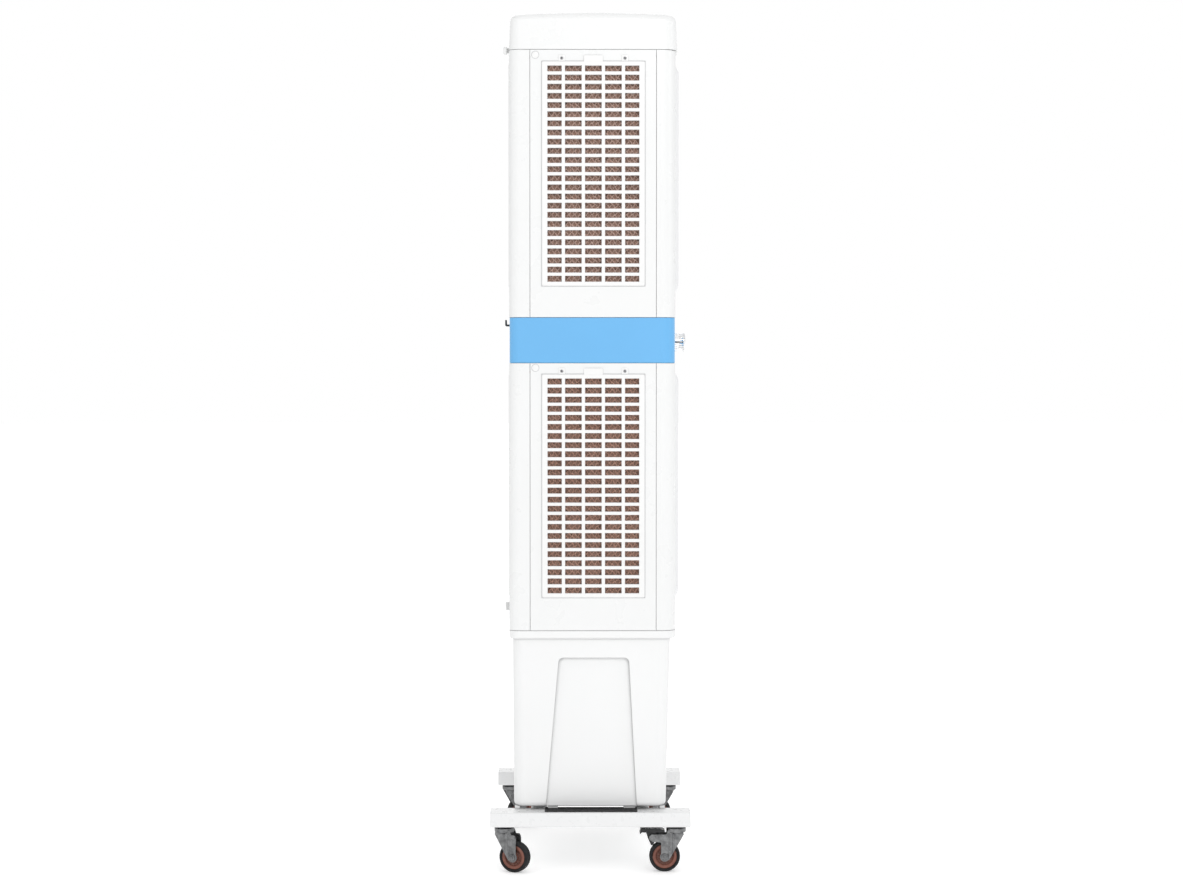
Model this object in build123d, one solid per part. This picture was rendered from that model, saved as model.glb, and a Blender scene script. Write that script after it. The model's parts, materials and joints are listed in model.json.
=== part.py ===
from build123d import *
import math
import os

# A double-deck evaporative cooler on a four-caster trolley.
# Frame: +Z up, the air outlets face -Y, left is -X, and the origin is on the floor
# under the middle of the trolley. Every length is in millimetres, every angle in degrees.

# ---------------------------------------------------------------- driving dimensions
BODY_WIDTH = 630.0
BODY_REAR = 197.0
BODY_FRONT = -207.4
REAR_CORNER = 24.0
FRONT_CORNER = 36.0
WALL = 3.0
TONGUE = 2.5
TONGUE_REACH = 12.0
SEAM = 1.0

RIM_LOW = 567.5
LOWER_BASE = 587.0
BAND_BASE = 1237.0
UPPER_BASE = 1347.4
CAP_BASE = 1994.0
TOTAL_HEIGHT = 2084.5

FRONT_SEAM_Y = -160.0
REAR_SEAM_Y = 146.0

MODULES = {
    "lower": {"low": LOWER_BASE, "high": BAND_BASE, "grille_low": 667.7, "outlet_z": 938.0},
    "upper": {"low": UPPER_BASE, "high": CAP_BASE, "grille_low": 1423.4, "outlet_z": 1687.2},
}

# Intake grilles and the cooling pads behind them
GRILLE_HEIGHT = 542.0
GRILLE_SIDE_Y = -7.5
GRILLE_BORDER = 13.5
GRILLE_ROWS = 24
ROW_PITCH = 22.05
SLOT_HEIGHT = 14.4
SLOT_WIDTH = 40.3
END_SLOT_WIDTH = 34.5
BAR_WIDTH = 8.1
SIDE_COLUMNS = 5
REAR_COLUMNS = 10
GRILLE_PROUD = 2.5
GRILLE_DEPTH = 14.0
GRILLE_LAP = 3.0
TAB_WIDTH = 46.0
TAB_HEIGHT = 14.5
PAD_THICKNESS = 50.0
PAD_LAP = 8.0
SHELF = 3.0
GRILLE_FIT = 0.4
GRILLE_CORNER = 4.0
GRILLE_EASE = 1.2
TAB_CORNER = 2.5
TAB_LAP = 4.0

# Air outlets
BEZEL_WIDTH = 500.0
BEZEL_HEIGHT = 560.0
BEZEL_PROUD = 9.1
BEZEL_SLOPE = 18.0
BEZEL_CORNER = 16.0
BEZEL_TIP_CORNER = 12.0
THROAT_WIDTH = 440.0
THROAT_HEIGHT = 494.0
DUCT_WALL = 4.0
DUCT_CLEARANCE = 0.3
DUCT_BACK_Y = -95.0
SLAT_COUNT = 11
SLAT_THICKNESS = 3.0
SLAT_DEPTH = 15.0
SLAT_SET_BACK = 2.0
VANE_COUNT = 4
VANE_PITCH = 110.0
VANE_CHORD = 72.0
VANE_THICKNESS = 3.2
VANE_END_GAP = 1.5
VANE_BULGE = (4.6, 12.0)
VANE_Y = -150.0
VANE_PIN_RADIUS = 3.0
RUNNING = 0.06

# Fans
FAN_RADIUS = 212.0
FAN_HUB_RADIUS = 48.0
FAN_MID_Y = -57.0
FAN_BLADES = 6
BLADE_CHORD = 88.0
BLADE_PITCH = 33.0
BLADE_THICKNESS = 3.0
HUB_HALF_LENGTH = 28.0
HUB_ROUND = 10.0
SHAFT_REACH = 40.0
SHROUD_WALL = 2.5
PLATE_THICKNESS = 3.0
PLATE_MARGIN = 14.0
ARM_ANGLES = (45, 135, 225, 315)
ARM_HALF_WIDTH = 11.0
ARM_THICKNESS = 6.0
ARM_HUB_HOLE = 20.0
MOTOR_ROUND = 8.0
SHROUD_RADIUS = 219.0
SHROUD_BACK_Y = -20.0
MOTOR_RADIUS = 56.0
MOTOR_LENGTH = 92.0
SHAFT_RADIUS = 8.0

# Tank
TANK_HALF_TOP = 306.0
TANK_HALF_BOTTOM = 302.0
TANK_REAR_TOP = 189.0
TANK_REAR_BOTTOM = 186.0
TANK_FRONT_TOP = -195.0
TANK_FRONT_BOTTOM = -184.5
TANK_CORNER = 26.0
TANK_BASE = 155.5
TANK_WALL = 4.0
RECESS_TOP = 520.0
RECESS_HALF_TOP = 85.3
RECESS_HALF_BOTTOM = 113.7
RECESS_Y = -1.9
RECESS_LEAN = 6.9
RECESS_EXTRA = 40.0
RECESS_DEPTH = 6.0
RECESS_CORNER = 12.0
TANK_ROUND = 12.0
RIM_LAP = 4.0
OUTER_FEET_Y = ((172.0, 184.0), (-182.0, -170.0))
INNER_FEET_Y = ((79.0, 103.0), (-110.0, -81.0))
FOOT_INSIDE_X = 279.0
FOOT_OUTSIDE_X = 293.0
BOSS_RADIUS = 25.0
BOSS_DEPTH = 8.0

# Trolley
RAIL_LENGTH = 485.4
RAIL_WIDTH = 75.0
RAIL_TOP = 148.5
RAIL_BASE = 112.8
RAIL_OUTER_X = 350.0
RAIL_WALL = 2.5
RAIL_X = RAIL_OUTER_X - RAIL_WIDTH / 2
CROSSBAR_Y = 125.0
CROSSBAR_WIDTH = 40.0
CROSSBAR_HEIGHT = 30.0
CROSSBAR_LIFT = 3.0
REST_STRIP_X = (277.0, 337.0)
REST_STRIP_HALF = 112.0
REST_STRIP_HEIGHT = 2.0

# Casters
KINGPIN_Y = 209.0
KINGPIN_RADIUS = 6.0
CASTER_TRAIL = 28.0
WHEEL_RADIUS = 37.5
HUB_RADIUS = 30.0
TREAD_WIDTH = 25.0
HUB_WIDTH = 27.0
AXLE_RADIUS = 4.0
SOLID_GAP = 0.1
CHEEK_INSIDE = 15.0
CHEEK_THICKNESS = 2.5
CROWN_RADIUS = 24.0
CROWN_LOW = 96.0
CROWN_HIGH = 108.6
PEDAL_PIVOT = (59.0, 82.5)
PEDAL_PIN_RADIUS = 3.0
PEDAL_HALF_WIDTH = 17.0
PEDAL_WEB_HALF = 11.0
CROWN_ROUND = 3.5
CHEEK_TIP_RADIUS = 11.5
RIVET_WELL_RADIUS = 10.6
RACE_RADIUS = 22.0
RACE_GAP = 0.4
RIVET_RADIUS = 10.0
RIVET_HEIGHT = 5.0
STEM_NUT_APOTHEM = 9.5
AXLE_NUT_APOTHEM = 6.5
CASTERS = {
    "front_left": {"x": -RAIL_X, "y": -KINGPIN_Y, "turn": 0.0, "brake": True},
    "front_right": {"x": RAIL_X, "y": -KINGPIN_Y, "turn": -6.0, "brake": True},
    "rear_left": {"x": -RAIL_X, "y": KINGPIN_Y, "turn": 158.0, "brake": False},
    "rear_right": {"x": RAIL_X, "y": KINGPIN_Y, "turn": 194.0, "brake": False},
}

# Band and lid
BAND_INSET = 1.0
DECK = 3.0
BAND_LAP = 8.0
SWITCH_HALF = 32.0
SWITCH_DEPTH = 46.0
CAP_TAPER = 2.2
CAP_CROWN_RADIUS = 3300.0
CAP_ROUND = 17.0
CAP_ROOF = 12.0
CAP_OVERHANG = 4.0

# Controls and water circuit
KNOB_Z = 1292.3
KNOB_RADIUS = 24.3
KNOB_TIP_Y = -242.5
KNOB_GAP = 0.6
KNOB_GROOVE = 6.0
KNOB_SHAFT = 4.0
KNOB_EASE = 2.5
KNOB_SHAFT_LENGTH = 30.0
GROMMET_X = 180.0
GROMMET_Z = 1262.0
GROMMET_BORE = 8.0
RISER_X = -225.0
RISER_Y = 105.0
RISER_RADIUS = 9.0
SPRAY_RADIUS = 6.0
ELBOW_RADIUS = 7.5
SPRAY_X = 277.0
SPRAY_Y = 159.0
INLET_X = -150.0
INLET_Z = 632.0
INLET_RADIUS = 10.48
INLET_LENGTH = 13.0
INLET_BORE = 7.5
INLET_PIPE_RADIUS = 9.0
INLET_COLLAR = (17.0, 5.0)
VALVE_Y = 160.0
VALVE_Z = 545.0
FLOAT_ARM = 150.0
FLOAT_RADIUS = 32.0
FLOAT_PIN_RADIUS = 2.5
FLOAT_PIVOT_Y = 140.0
FLOAT_PIVOT_Z = 534.0
DRAIN_Z = 190.0
DRAIN_FACE = 301.0
DRAIN_RADIUS = 11.0
FLOAT_DROOP = 35.0
PUMP_FOOT = (92.0, 74.0, 22.0)
PUMP_CASE = (80.0, 62.0, 70.0)
PUMP_SPOUT = (13.0, 18.0)

# Small fittings
SCREW_LIFT = 7.5
SCREW_RADIUS = 4.0
SCREW_PROUD = 3.2
SIDE_SCREW_OFFSET = 76.5
REAR_SCREW_OFFSET = 180.0
COVER_OFFSET = 140.5
COVER_LIFT = 15.5
COVER_RADIUS = 8.5
COVER_PROUD = 1.2
HOOK_X = -120.0
HOOK_LOW = 1329.5
HOOK_HEIGHT = 17.0
HOOK_HALF_WIDTH = 9.0
HOOK_DEPTH = 15.5
HOOK_METAL = 4.0
HOOK_LIP_DROP = 1.0
HOOK_ROUND = 1.2
BUTTON_X = -272.0
BUTTON_Z = 1996.0
BUTTON_RADIUS = 9.5
BUTTON_PROUD = 14.0

BIG = 1000.0
BOTTOM = (Align.CENTER, Align.CENTER, Align.MIN)


# ---------------------------------------------------------------- shared helpers
def block(x, y, z):
    """A box given by its low and high limits along X, Y and Z."""
    size = [high - low for low, high in (x, y, z)]
    centre = [(high + low) / 2 for low, high in (x, y, z)]
    return Pos(*centre) * Box(*size)


def rod(start, end, radius):
    """A round bar from one point to another."""
    run = Vector(*end) - Vector(*start)
    return Plane(origin=start, z_dir=run) * Cylinder(radius, run.length, align=BOTTOM)


def rounded(width, height, radius):
    """A rectangle with four round corners, centred on its plane."""
    return RectangleRounded(width, height, radius)


def prism_x(points, low, high):
    """An outline of (Y, Z) points, carried from one X to another."""
    face = make_face(Polyline(*points, close=True))
    return Plane(origin=(low, 0, 0), x_dir=(0, 1, 0), z_dir=(1, 0, 0)) * extrude(face, high - low)


def plan(inset, overhang=0.0):
    """The housing seen from above: tight rear corners, wide front corners and a longer front."""
    rear = BODY_REAR - inset
    front = BODY_FRONT + inset - overhang
    face = Pos(0, (rear + front) / 2) * Rectangle(BODY_WIDTH - 2 * inset, rear - front)
    face = fillet(face.vertices().group_by(Axis.Y)[-1], REAR_CORNER - inset)
    return fillet(face.vertices().group_by(Axis.Y)[0], FRONT_CORNER - inset)


def ring(outer_inset, inner_inset, low, high):
    """A hoop that follows the housing's outline between two insets."""
    outer = extrude(plan(outer_inset), high - low)
    inner = extrude(plan(inner_inset), high - low)
    return Pos(0, 0, low) * (outer - inner)


def tongue(low, high):
    """The hidden lip that one housing piece puts inside its neighbour."""
    return ring(WALL, WALL + TONGUE, low, high)


def mirrored(part):
    """The same piece for the right-hand side."""
    return mirror(part, about=Plane.YZ)


# ---------------------------------------------------------------- housing panels
def grille_span(columns):
    """The outer width of a grille frame with this many columns of slots."""
    slots = 2 * END_SLOT_WIDTH + (columns - 2) * SLOT_WIDTH
    return slots + (columns - 1) * BAR_WIDTH + 2 * GRILLE_BORDER


def window(columns, low):
    """The hole that a grille fills, as a block through a wall on the XZ plane."""
    half = grille_span(columns) / 2 - GRILLE_LAP
    return block(
        (-half, half),
        (-GRILLE_DEPTH, GRILLE_DEPTH),
        (low + GRILLE_LAP, low + GRILLE_HEIGHT - GRILLE_LAP),
    )


def to_left(part):
    """Turns something made on the rear wall so that it stands on the left wall."""
    return Pos(-BODY_WIDTH / 2, GRILLE_SIDE_Y, 0) * Rot(0, 0, 90) * part


def to_rear(part):
    """Puts something made on the XZ plane on the rear wall."""
    return Pos(0, BODY_REAR, 0) * part


def pad_shelf(columns, low):
    """The ledge under a cooling pad, made on the XZ plane."""
    half = grille_span(columns) / 2 + PAD_LAP - 1
    depth = GRILLE_DEPTH + PAD_THICKNESS
    return block((-half, half), (-depth, -WALL), (low - PAD_LAP - SHELF, low - PAD_LAP))


def panels(name, sizes):
    """The front, rear and two side panels of one module."""
    low = sizes["low"] + SEAM / 2
    high = sizes["high"] - SEAM / 2
    shell = ring(0, WALL, low, high)
    lips = tongue(low + 2 * TONGUE_REACH, high - 2 * TONGUE_REACH)
    z = (low, high)
    wide = (-BIG, BIG)
    front = shell & block(wide, (-BIG, FRONT_SEAM_Y - SEAM / 2), z)
    front += lips & block(wide, (-BIG, FRONT_SEAM_Y + TONGUE_REACH), z)
    half = THROAT_WIDTH / 2 + DUCT_WALL
    reach = THROAT_HEIGHT / 2 + DUCT_WALL
    outlet_z = sizes["outlet_z"]
    front -= block((-half, half), (-BIG, FRONT_SEAM_Y), (outlet_z - reach, outlet_z + reach))
    rear = shell & block(wide, (REAR_SEAM_Y + SEAM / 2, BIG), z)
    rear += lips & block(wide, (REAR_SEAM_Y - TONGUE_REACH, REAR_SEAM_Y + TONGUE_REACH), z)
    rear -= to_rear(window(REAR_COLUMNS, sizes["grille_low"]))
    rear += to_rear(pad_shelf(REAR_COLUMNS, sizes["grille_low"]))
    if name == "lower":
        rear -= rod((INLET_X, 0, INLET_Z), (INLET_X, BIG, INLET_Z), INLET_PIPE_RADIUS)
    left = shell & block((-BIG, 0), (FRONT_SEAM_Y + SEAM / 2, REAR_SEAM_Y - SEAM / 2), z)
    left -= to_left(window(SIDE_COLUMNS, sizes["grille_low"]))
    left += to_left(pad_shelf(SIDE_COLUMNS, sizes["grille_low"]))
    return {
        "front_panel_" + name: front,
        "rear_panel_" + name: rear,
        "side_panel_left_" + name: left,
        "side_panel_right_" + name: mirrored(left),
    }


# ---------------------------------------------------------------- grilles and pads
def slot_centres(columns):
    """(centre, width) of each column of slots, from one end of a grille to the other."""
    widths = [END_SLOT_WIDTH] + [SLOT_WIDTH] * (columns - 2) + [END_SLOT_WIDTH]
    edge = GRILLE_BORDER - grille_span(columns) / 2
    found = []
    for width in widths:
        found.append((edge + width / 2, width))
        edge += width + BAR_WIDTH
    return found


def grille(columns, low):
    """A moulded intake grille: frame, slots in rows and columns, and a finger tab on top."""
    span = grille_span(columns)
    flange = block((-span / 2, span / 2), (0, GRILLE_PROUD), (low, low + GRILLE_HEIGHT))
    flange = fillet(flange.edges().filter_by(Axis.Y), GRILLE_CORNER)
    flange = chamfer(flange.faces().sort_by(Axis.Y)[-1].edges(), GRILLE_EASE)
    margin = GRILLE_LAP + GRILLE_FIT
    inside = span / 2 - margin
    core_z = (low + margin, low + GRILLE_HEIGHT - margin)
    body = flange + block((-inside, inside), (GRILLE_PROUD - GRILLE_DEPTH, 0.5), core_z)
    top = low + GRILLE_HEIGHT
    tab_z = (top - TAB_LAP, top + TAB_HEIGHT)
    tab = block((-TAB_WIDTH / 2, TAB_WIDTH / 2), (0, GRILLE_PROUD - 0.5), tab_z)
    tab = fillet(tab.edges().filter_by(Axis.Y), TAB_CORNER)
    body += tab
    first = low + (GRILLE_HEIGHT - (GRILLE_ROWS - 1) * ROW_PITCH) / 2
    slots = []
    for row in range(GRILLE_ROWS):
        z = first + row * ROW_PITCH
        for centre, width in slot_centres(columns):
            slots.append(Pos(centre, 0, z) * Box(width, 3 * GRILLE_DEPTH, SLOT_HEIGHT))
    return body - slots


def pad(columns, low):
    """The block of fluted cellulose behind a grille, as its outer shape."""
    half = grille_span(columns) / 2 + PAD_LAP
    front = GRILLE_PROUD - GRILLE_DEPTH - 0.5
    z = (low - PAD_LAP, low + GRILLE_HEIGHT + PAD_LAP)
    return block((-half, half), (front - PAD_THICKNESS, front), z)


def intake(name, sizes):
    """The three grilles and three pads of one module."""
    low = sizes["grille_low"]
    left = to_left(grille(SIDE_COLUMNS, low))
    left_pad = to_left(pad(SIDE_COLUMNS, low))
    pads = [left_pad, mirrored(left_pad), to_rear(pad(REAR_COLUMNS, low))]
    return {
        "side_grille_left_" + name: left,
        "side_grille_right_" + name: mirrored(left),
        "rear_grille_" + name: to_rear(grille(REAR_COLUMNS, low)),
        "cooling_pads_" + name: Compound(children=pads),
    }


# ---------------------------------------------------------------- air outlet
def vane_positions():
    """The X of each vane's pivot."""
    first = -(VANE_COUNT - 1) * VANE_PITCH / 2
    return [first + i * VANE_PITCH for i in range(VANE_COUNT)]


def slats(centre_z):
    """The fixed slats across one outlet, each held by its ends in the duct."""
    front = BODY_FRONT - BEZEL_PROUD + SLAT_SET_BACK
    half = THROAT_WIDTH / 2 - SOLID_GAP
    step = THROAT_HEIGHT / (SLAT_COUNT + 1)
    made = []
    for i in range(SLAT_COUNT):
        z = centre_z - THROAT_HEIGHT / 2 + (i + 1) * step
        slat_z = (z - SLAT_THICKNESS / 2, z + SLAT_THICKNESS / 2)
        made.append(block((-half, half), (front, front + SLAT_DEPTH), slat_z))
    return made


def bezel_bars(centre_z):
    """The raised frame round the outlet as four bars, the two upright ones between the others."""
    base = Plane(origin=(0, BODY_FRONT, centre_z), x_dir=(1, 0, 0), z_dir=(0, -1, 0))
    tip = base.offset(BEZEL_PROUD)
    narrow = (BEZEL_WIDTH - 1.2 * BEZEL_SLOPE, BEZEL_HEIGHT - 2 * BEZEL_SLOPE)
    foot = base * rounded(BEZEL_WIDTH, BEZEL_HEIGHT, BEZEL_CORNER)
    bezel = loft([foot, tip * rounded(*narrow, BEZEL_TIP_CORNER)])
    across = THROAT_WIDTH / 2
    up = THROAT_HEIGHT / 2
    bars = []
    for side in (-1, 1):
        z = sorted((centre_z + side * up, centre_z + side * BIG))
        bars.append(bezel & block((-BIG, BIG), (-BIG, BIG), z))
        x = sorted((side * across, side * BIG))
        z = (centre_z - up + SOLID_GAP, centre_z + up - SOLID_GAP)
        bars.append(bezel & block(x, (-BIG, BIG), z))
    return bars


def duct_walls(centre_z):
    """The four walls of the duct behind the bezel, with the bores for the vane pins."""
    across = THROAT_WIDTH / 2
    up = THROAT_HEIGHT / 2
    wall = DUCT_WALL - DUCT_CLEARANCE
    y = (BODY_FRONT + SOLID_GAP, DUCT_BACK_Y)
    walls = []
    for side in (-1, 1):
        x = sorted((side * across, side * (across + wall)))
        walls.append(block(x, y, (centre_z - up + SOLID_GAP, centre_z + up - SOLID_GAP)))
        z = sorted((centre_z + side * up, centre_z + side * (up + wall)))
        deck = block((-across - wall, across + wall), y, z)
        for vane_x in vane_positions():
            deck -= rod((vane_x, VANE_Y, 0), (vane_x, VANE_Y, 3 * BIG), VANE_PIN_RADIUS + RUNNING)
        walls.append(deck)
    return walls


def outlet_frame(centre_z):
    """The outlet's bezel, its duct and its fixed slats."""
    return Compound(children=bezel_bars(centre_z) + duct_walls(centre_z) + slats(centre_z))


def vane(x, centre_z):
    """One upright steering vane with a pin at each end."""
    half = THROAT_HEIGHT / 2 - VANE_END_GAP
    nose = VANE_CHORD / 2 - VANE_THICKNESS / 2
    ends = [Pos(0, y) * Circle(VANE_THICKNESS / 2) for y in (-nose, nose)]
    section = Rectangle(VANE_THICKNESS, 2 * nose) + ends
    section += Ellipse(*VANE_BULGE)
    blade = Pos(x, VANE_Y, centre_z - half) * extrude(section, 2 * half)
    reach = THROAT_HEIGHT / 2 + DUCT_WALL - 1
    return blade + rod((x, VANE_Y, centre_z - reach), (x, VANE_Y, centre_z + reach), VANE_PIN_RADIUS)


def outlet(name, sizes):
    """The outlet frame of one module and its steering vanes."""
    centre_z = sizes["outlet_z"]
    nodes = {"outlet_frame_" + name: outlet_frame(centre_z)}
    for i, x in enumerate(vane_positions(), 1):
        nodes[f"vane_{name}_{i}"] = vane(x, centre_z)
    return nodes


# ---------------------------------------------------------------- fans
def fan(centre_z):
    """The impeller: a hub with pitched blades and its shaft."""
    hub_front = FAN_MID_Y - HUB_HALF_LENGTH
    hub_back = FAN_MID_Y + HUB_HALF_LENGTH
    hub = rod((0, hub_front, centre_z), (0, hub_back, centre_z), FAN_HUB_RADIUS)
    hub = fillet(hub.edges().sort_by(Axis.Y)[0], HUB_ROUND)
    shaft = rod((0, hub_back - 5, centre_z), (0, SHROUD_BACK_Y + SHAFT_REACH, centre_z), SHAFT_RADIUS)
    reach = FAN_RADIUS - FAN_HUB_RADIUS + 20
    middle = FAN_HUB_RADIUS - 10 + reach / 2
    blade = Pos(middle, 0, 0) * Rot(BLADE_PITCH, 0, 0) * Box(reach, BLADE_THICKNESS, BLADE_CHORD)
    blade &= rod((0, -BIG, 0), (0, BIG, 0), FAN_RADIUS)
    impeller = hub + shaft
    for i in range(FAN_BLADES):
        turn = Rot(0, i * 360 / FAN_BLADES, 0)
        impeller += Pos(0, FAN_MID_Y, centre_z) * turn * blade
    return impeller


def fan_motor(centre_z):
    """The motor and the shroud plate whose arms carry it."""
    back = DUCT_BACK_Y + PLATE_THICKNESS
    plate_half = THROAT_WIDTH / 2 + PLATE_MARGIN
    plate_reach = THROAT_HEIGHT / 2 + PLATE_MARGIN
    plate_z = (centre_z - plate_reach, centre_z + plate_reach)
    frame = block((-plate_half, plate_half), (DUCT_BACK_Y, back), plate_z)
    frame += rod((0, DUCT_BACK_Y, centre_z), (0, SHROUD_BACK_Y, centre_z), SHROUD_RADIUS + SHROUD_WALL)
    frame -= rod((0, -BIG, centre_z), (0, BIG, centre_z), SHROUD_RADIUS)
    arm_front = SHROUD_BACK_Y - ARM_THICKNESS
    arm_x = (MOTOR_RADIUS - 10, SHROUD_RADIUS + 1)
    for angle in ARM_ANGLES:
        arm = block(arm_x, (arm_front, SHROUD_BACK_Y), (-ARM_HALF_WIDTH, ARM_HALF_WIDTH))
        frame += Pos(0, 0, centre_z) * Rot(0, angle, 0) * arm
    frame += rod((0, arm_front, centre_z), (0, SHROUD_BACK_Y, centre_z), MOTOR_RADIUS)
    frame -= rod((0, arm_front - 1, centre_z), (0, SHROUD_BACK_Y + 1, centre_z), ARM_HUB_HOLE)
    motor_y = SHROUD_BACK_Y + SOLID_GAP
    motor = rod((0, motor_y, centre_z), (0, motor_y + MOTOR_LENGTH, centre_z), MOTOR_RADIUS)
    motor = fillet(motor.edges().sort_by(Axis.Y)[-1], MOTOR_ROUND)
    bore = SHAFT_RADIUS + RUNNING
    motor -= rod((0, SHROUD_BACK_Y - 1, centre_z), (0, SHROUD_BACK_Y + SHAFT_REACH + 2, centre_z), bore)
    return Compound(children=[frame, motor])


# ---------------------------------------------------------------- control band and cap
def control_band():
    """The coloured middle section with its two decks and the switch housing behind the knob."""
    low = BAND_BASE + SEAM / 2
    high = UPPER_BASE - SEAM / 2
    band = ring(BAND_INSET, WALL + BAND_INSET, low, high)
    band += tongue(low - TONGUE_REACH, low + BAND_LAP)
    band += tongue(high - BAND_LAP, high + TONGUE_REACH)
    for deck in (low + DECK, high - 2 * DECK):
        band += Pos(0, 0, deck) * extrude(plan(WALL), DECK)
    band -= rod((RISER_X, RISER_Y, 0), (RISER_X, RISER_Y, 2 * BIG), RISER_RADIUS + 1)
    inside = BODY_FRONT + WALL + BAND_INSET
    switch_z = (KNOB_Z - SWITCH_HALF, KNOB_Z + SWITCH_HALF)
    band += block((-SWITCH_HALF, SWITCH_HALF), (inside - 0.5, inside + SWITCH_DEPTH), switch_z)
    bore = KNOB_SHAFT + RUNNING
    band -= rod((0, BODY_FRONT - 5, KNOB_Z), (0, inside + KNOB_SHAFT_LENGTH, KNOB_Z), bore)
    band -= rod((GROMMET_X, BODY_REAR - 20, GROMMET_Z), (GROMMET_X, BIG, GROMMET_Z), GROMMET_BORE)
    return band


def control_knob():
    """The round selector knob, its pointer groove and its shaft."""
    back = BODY_FRONT + BAND_INSET - KNOB_GAP
    knob = rod((0, back, KNOB_Z), (0, KNOB_TIP_Y, KNOB_Z), KNOB_RADIUS)
    knob = chamfer(knob.edges().sort_by(Axis.Y)[0], KNOB_EASE)
    groove_z = (KNOB_Z - KNOB_GROOVE / 2, KNOB_Z + KNOB_GROOVE / 2)
    knob -= block((-BIG, 3 - KNOB_RADIUS), (KNOB_TIP_Y + 5, back - 2), groove_z)
    knob -= block((-BIG, -6), (KNOB_TIP_Y - 1, KNOB_TIP_Y + 1.5), groove_z)
    return knob + rod((0, back, KNOB_Z), (0, back + KNOB_SHAFT_LENGTH, KNOB_Z), KNOB_SHAFT)


def top_cap():
    """The crowned lid with leaning sides."""
    height = TOTAL_HEIGHT - CAP_BASE - SEAM / 2
    foot = CAP_BASE + SEAM / 2
    cap = extrude(plan(0, CAP_OVERHANG), height, taper=CAP_TAPER)
    crown = Pos(0, (BODY_REAR + BODY_FRONT) / 2, height - CAP_CROWN_RADIUS) * Rot(0, 90, 0)
    cap &= crown * Cylinder(CAP_CROWN_RADIUS, BIG)
    cap = fillet(cap.faces().sort_by(Axis.Z)[-1].edges(), CAP_ROUND)
    cap -= extrude(plan(WALL), height - CAP_ROOF, taper=CAP_TAPER)
    cap = Pos(0, 0, foot) * cap
    return cap + tongue(foot - TONGUE_REACH, foot + 6)


# ---------------------------------------------------------------- tank
def tank_level(inset, z):
    """The tank's outline at a height, as a face, its taper running from rim to base."""
    share = (z - TANK_BASE) / (RIM_LOW - TANK_BASE)
    half = TANK_HALF_BOTTOM + share * (TANK_HALF_TOP - TANK_HALF_BOTTOM) - inset
    rear = TANK_REAR_BOTTOM + share * (TANK_REAR_TOP - TANK_REAR_BOTTOM) - inset
    front = TANK_FRONT_BOTTOM + share * (TANK_FRONT_TOP - TANK_FRONT_BOTTOM) + inset
    plane = Plane(origin=(0, (rear + front) / 2, z))
    return plane * rounded(2 * half, rear - front, TANK_CORNER - inset)


def side_recess(inset):
    """The trapezoid set into each side of the tank, which widens towards the base."""
    top = RECESS_TOP + inset - TANK_BASE + RECESS_EXTRA
    wide = RECESS_HALF_BOTTOM + inset
    narrow = RECESS_HALF_TOP + inset
    points = [(-wide, 0), (wide, 0), (RECESS_LEAN + narrow, top), (RECESS_LEAN - narrow, top)]
    face = make_face(Polyline(*points, close=True))
    face = fillet(face.vertices().group_by(Axis.Y)[-1], RECESS_CORNER + inset)
    outside = TANK_HALF_TOP + 4
    depth = outside - TANK_HALF_BOTTOM + RECESS_DEPTH + inset
    side = Plane(origin=(-outside, RECESS_Y, TANK_BASE - RECESS_EXTRA), x_dir=(0, -1, 0), z_dir=(-1, 0, 0))
    pocket = side * extrude(face, -depth)
    return [pocket, mirrored(pocket)]


def tank_feet(places, bottom):
    """The feet on the right-hand side that stand at one height."""
    x = (FOOT_INSIDE_X, FOOT_OUTSIDE_X)
    return [block(x, y, (bottom, TANK_BASE + 1)) for y in places]


def water_tank():
    """The tank with its rolled rim, side recesses, feet and drain boss."""
    tank = loft([tank_level(0, TANK_BASE), tank_level(0, RIM_LOW + RIM_LAP)])
    tank = fillet(tank.faces().sort_by(Axis.Z)[0].edges(), TANK_ROUND)
    tank -= side_recess(0)
    floor = TANK_BASE + TANK_WALL
    water = loft([tank_level(TANK_WALL, floor), tank_level(TANK_WALL, RIM_LOW + RIM_LAP)])
    water = fillet(water.faces().sort_by(Axis.Z)[0].edges(), TANK_ROUND - TANK_WALL)
    water -= side_recess(TANK_WALL)
    rim = Pos(0, 0, RIM_LOW) * extrude(plan(0), LOWER_BASE - SEAM / 2 - RIM_LOW)
    rim = chamfer(rim.faces().sort_by(Axis.Z)[0].edges(), 2.5)
    tank += rim
    tank += tongue(LOWER_BASE - 6, LOWER_BASE + TONGUE_REACH)
    mouth = tank_level(TANK_WALL + RIM_LAP, RIM_LOW)
    tank -= extrude(mouth, 60)
    tank -= water
    feet = tank_feet(OUTER_FEET_Y, RAIL_TOP) + tank_feet(INNER_FEET_Y, RAIL_TOP + REST_STRIP_HEIGHT)
    for foot in feet:
        tank += foot + mirrored(foot)
    drain = (TANK_HALF_BOTTOM - RECESS_DEPTH - BOSS_DEPTH, RECESS_Y, DRAIN_Z)
    tank += rod(drain, (DRAIN_FACE, RECESS_Y, DRAIN_Z), BOSS_RADIUS)
    tank -= rod((drain[0] - 5, RECESS_Y, DRAIN_Z), (BIG, RECESS_Y, DRAIN_Z), DRAIN_RADIUS + RUNNING)
    return tank


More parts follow.
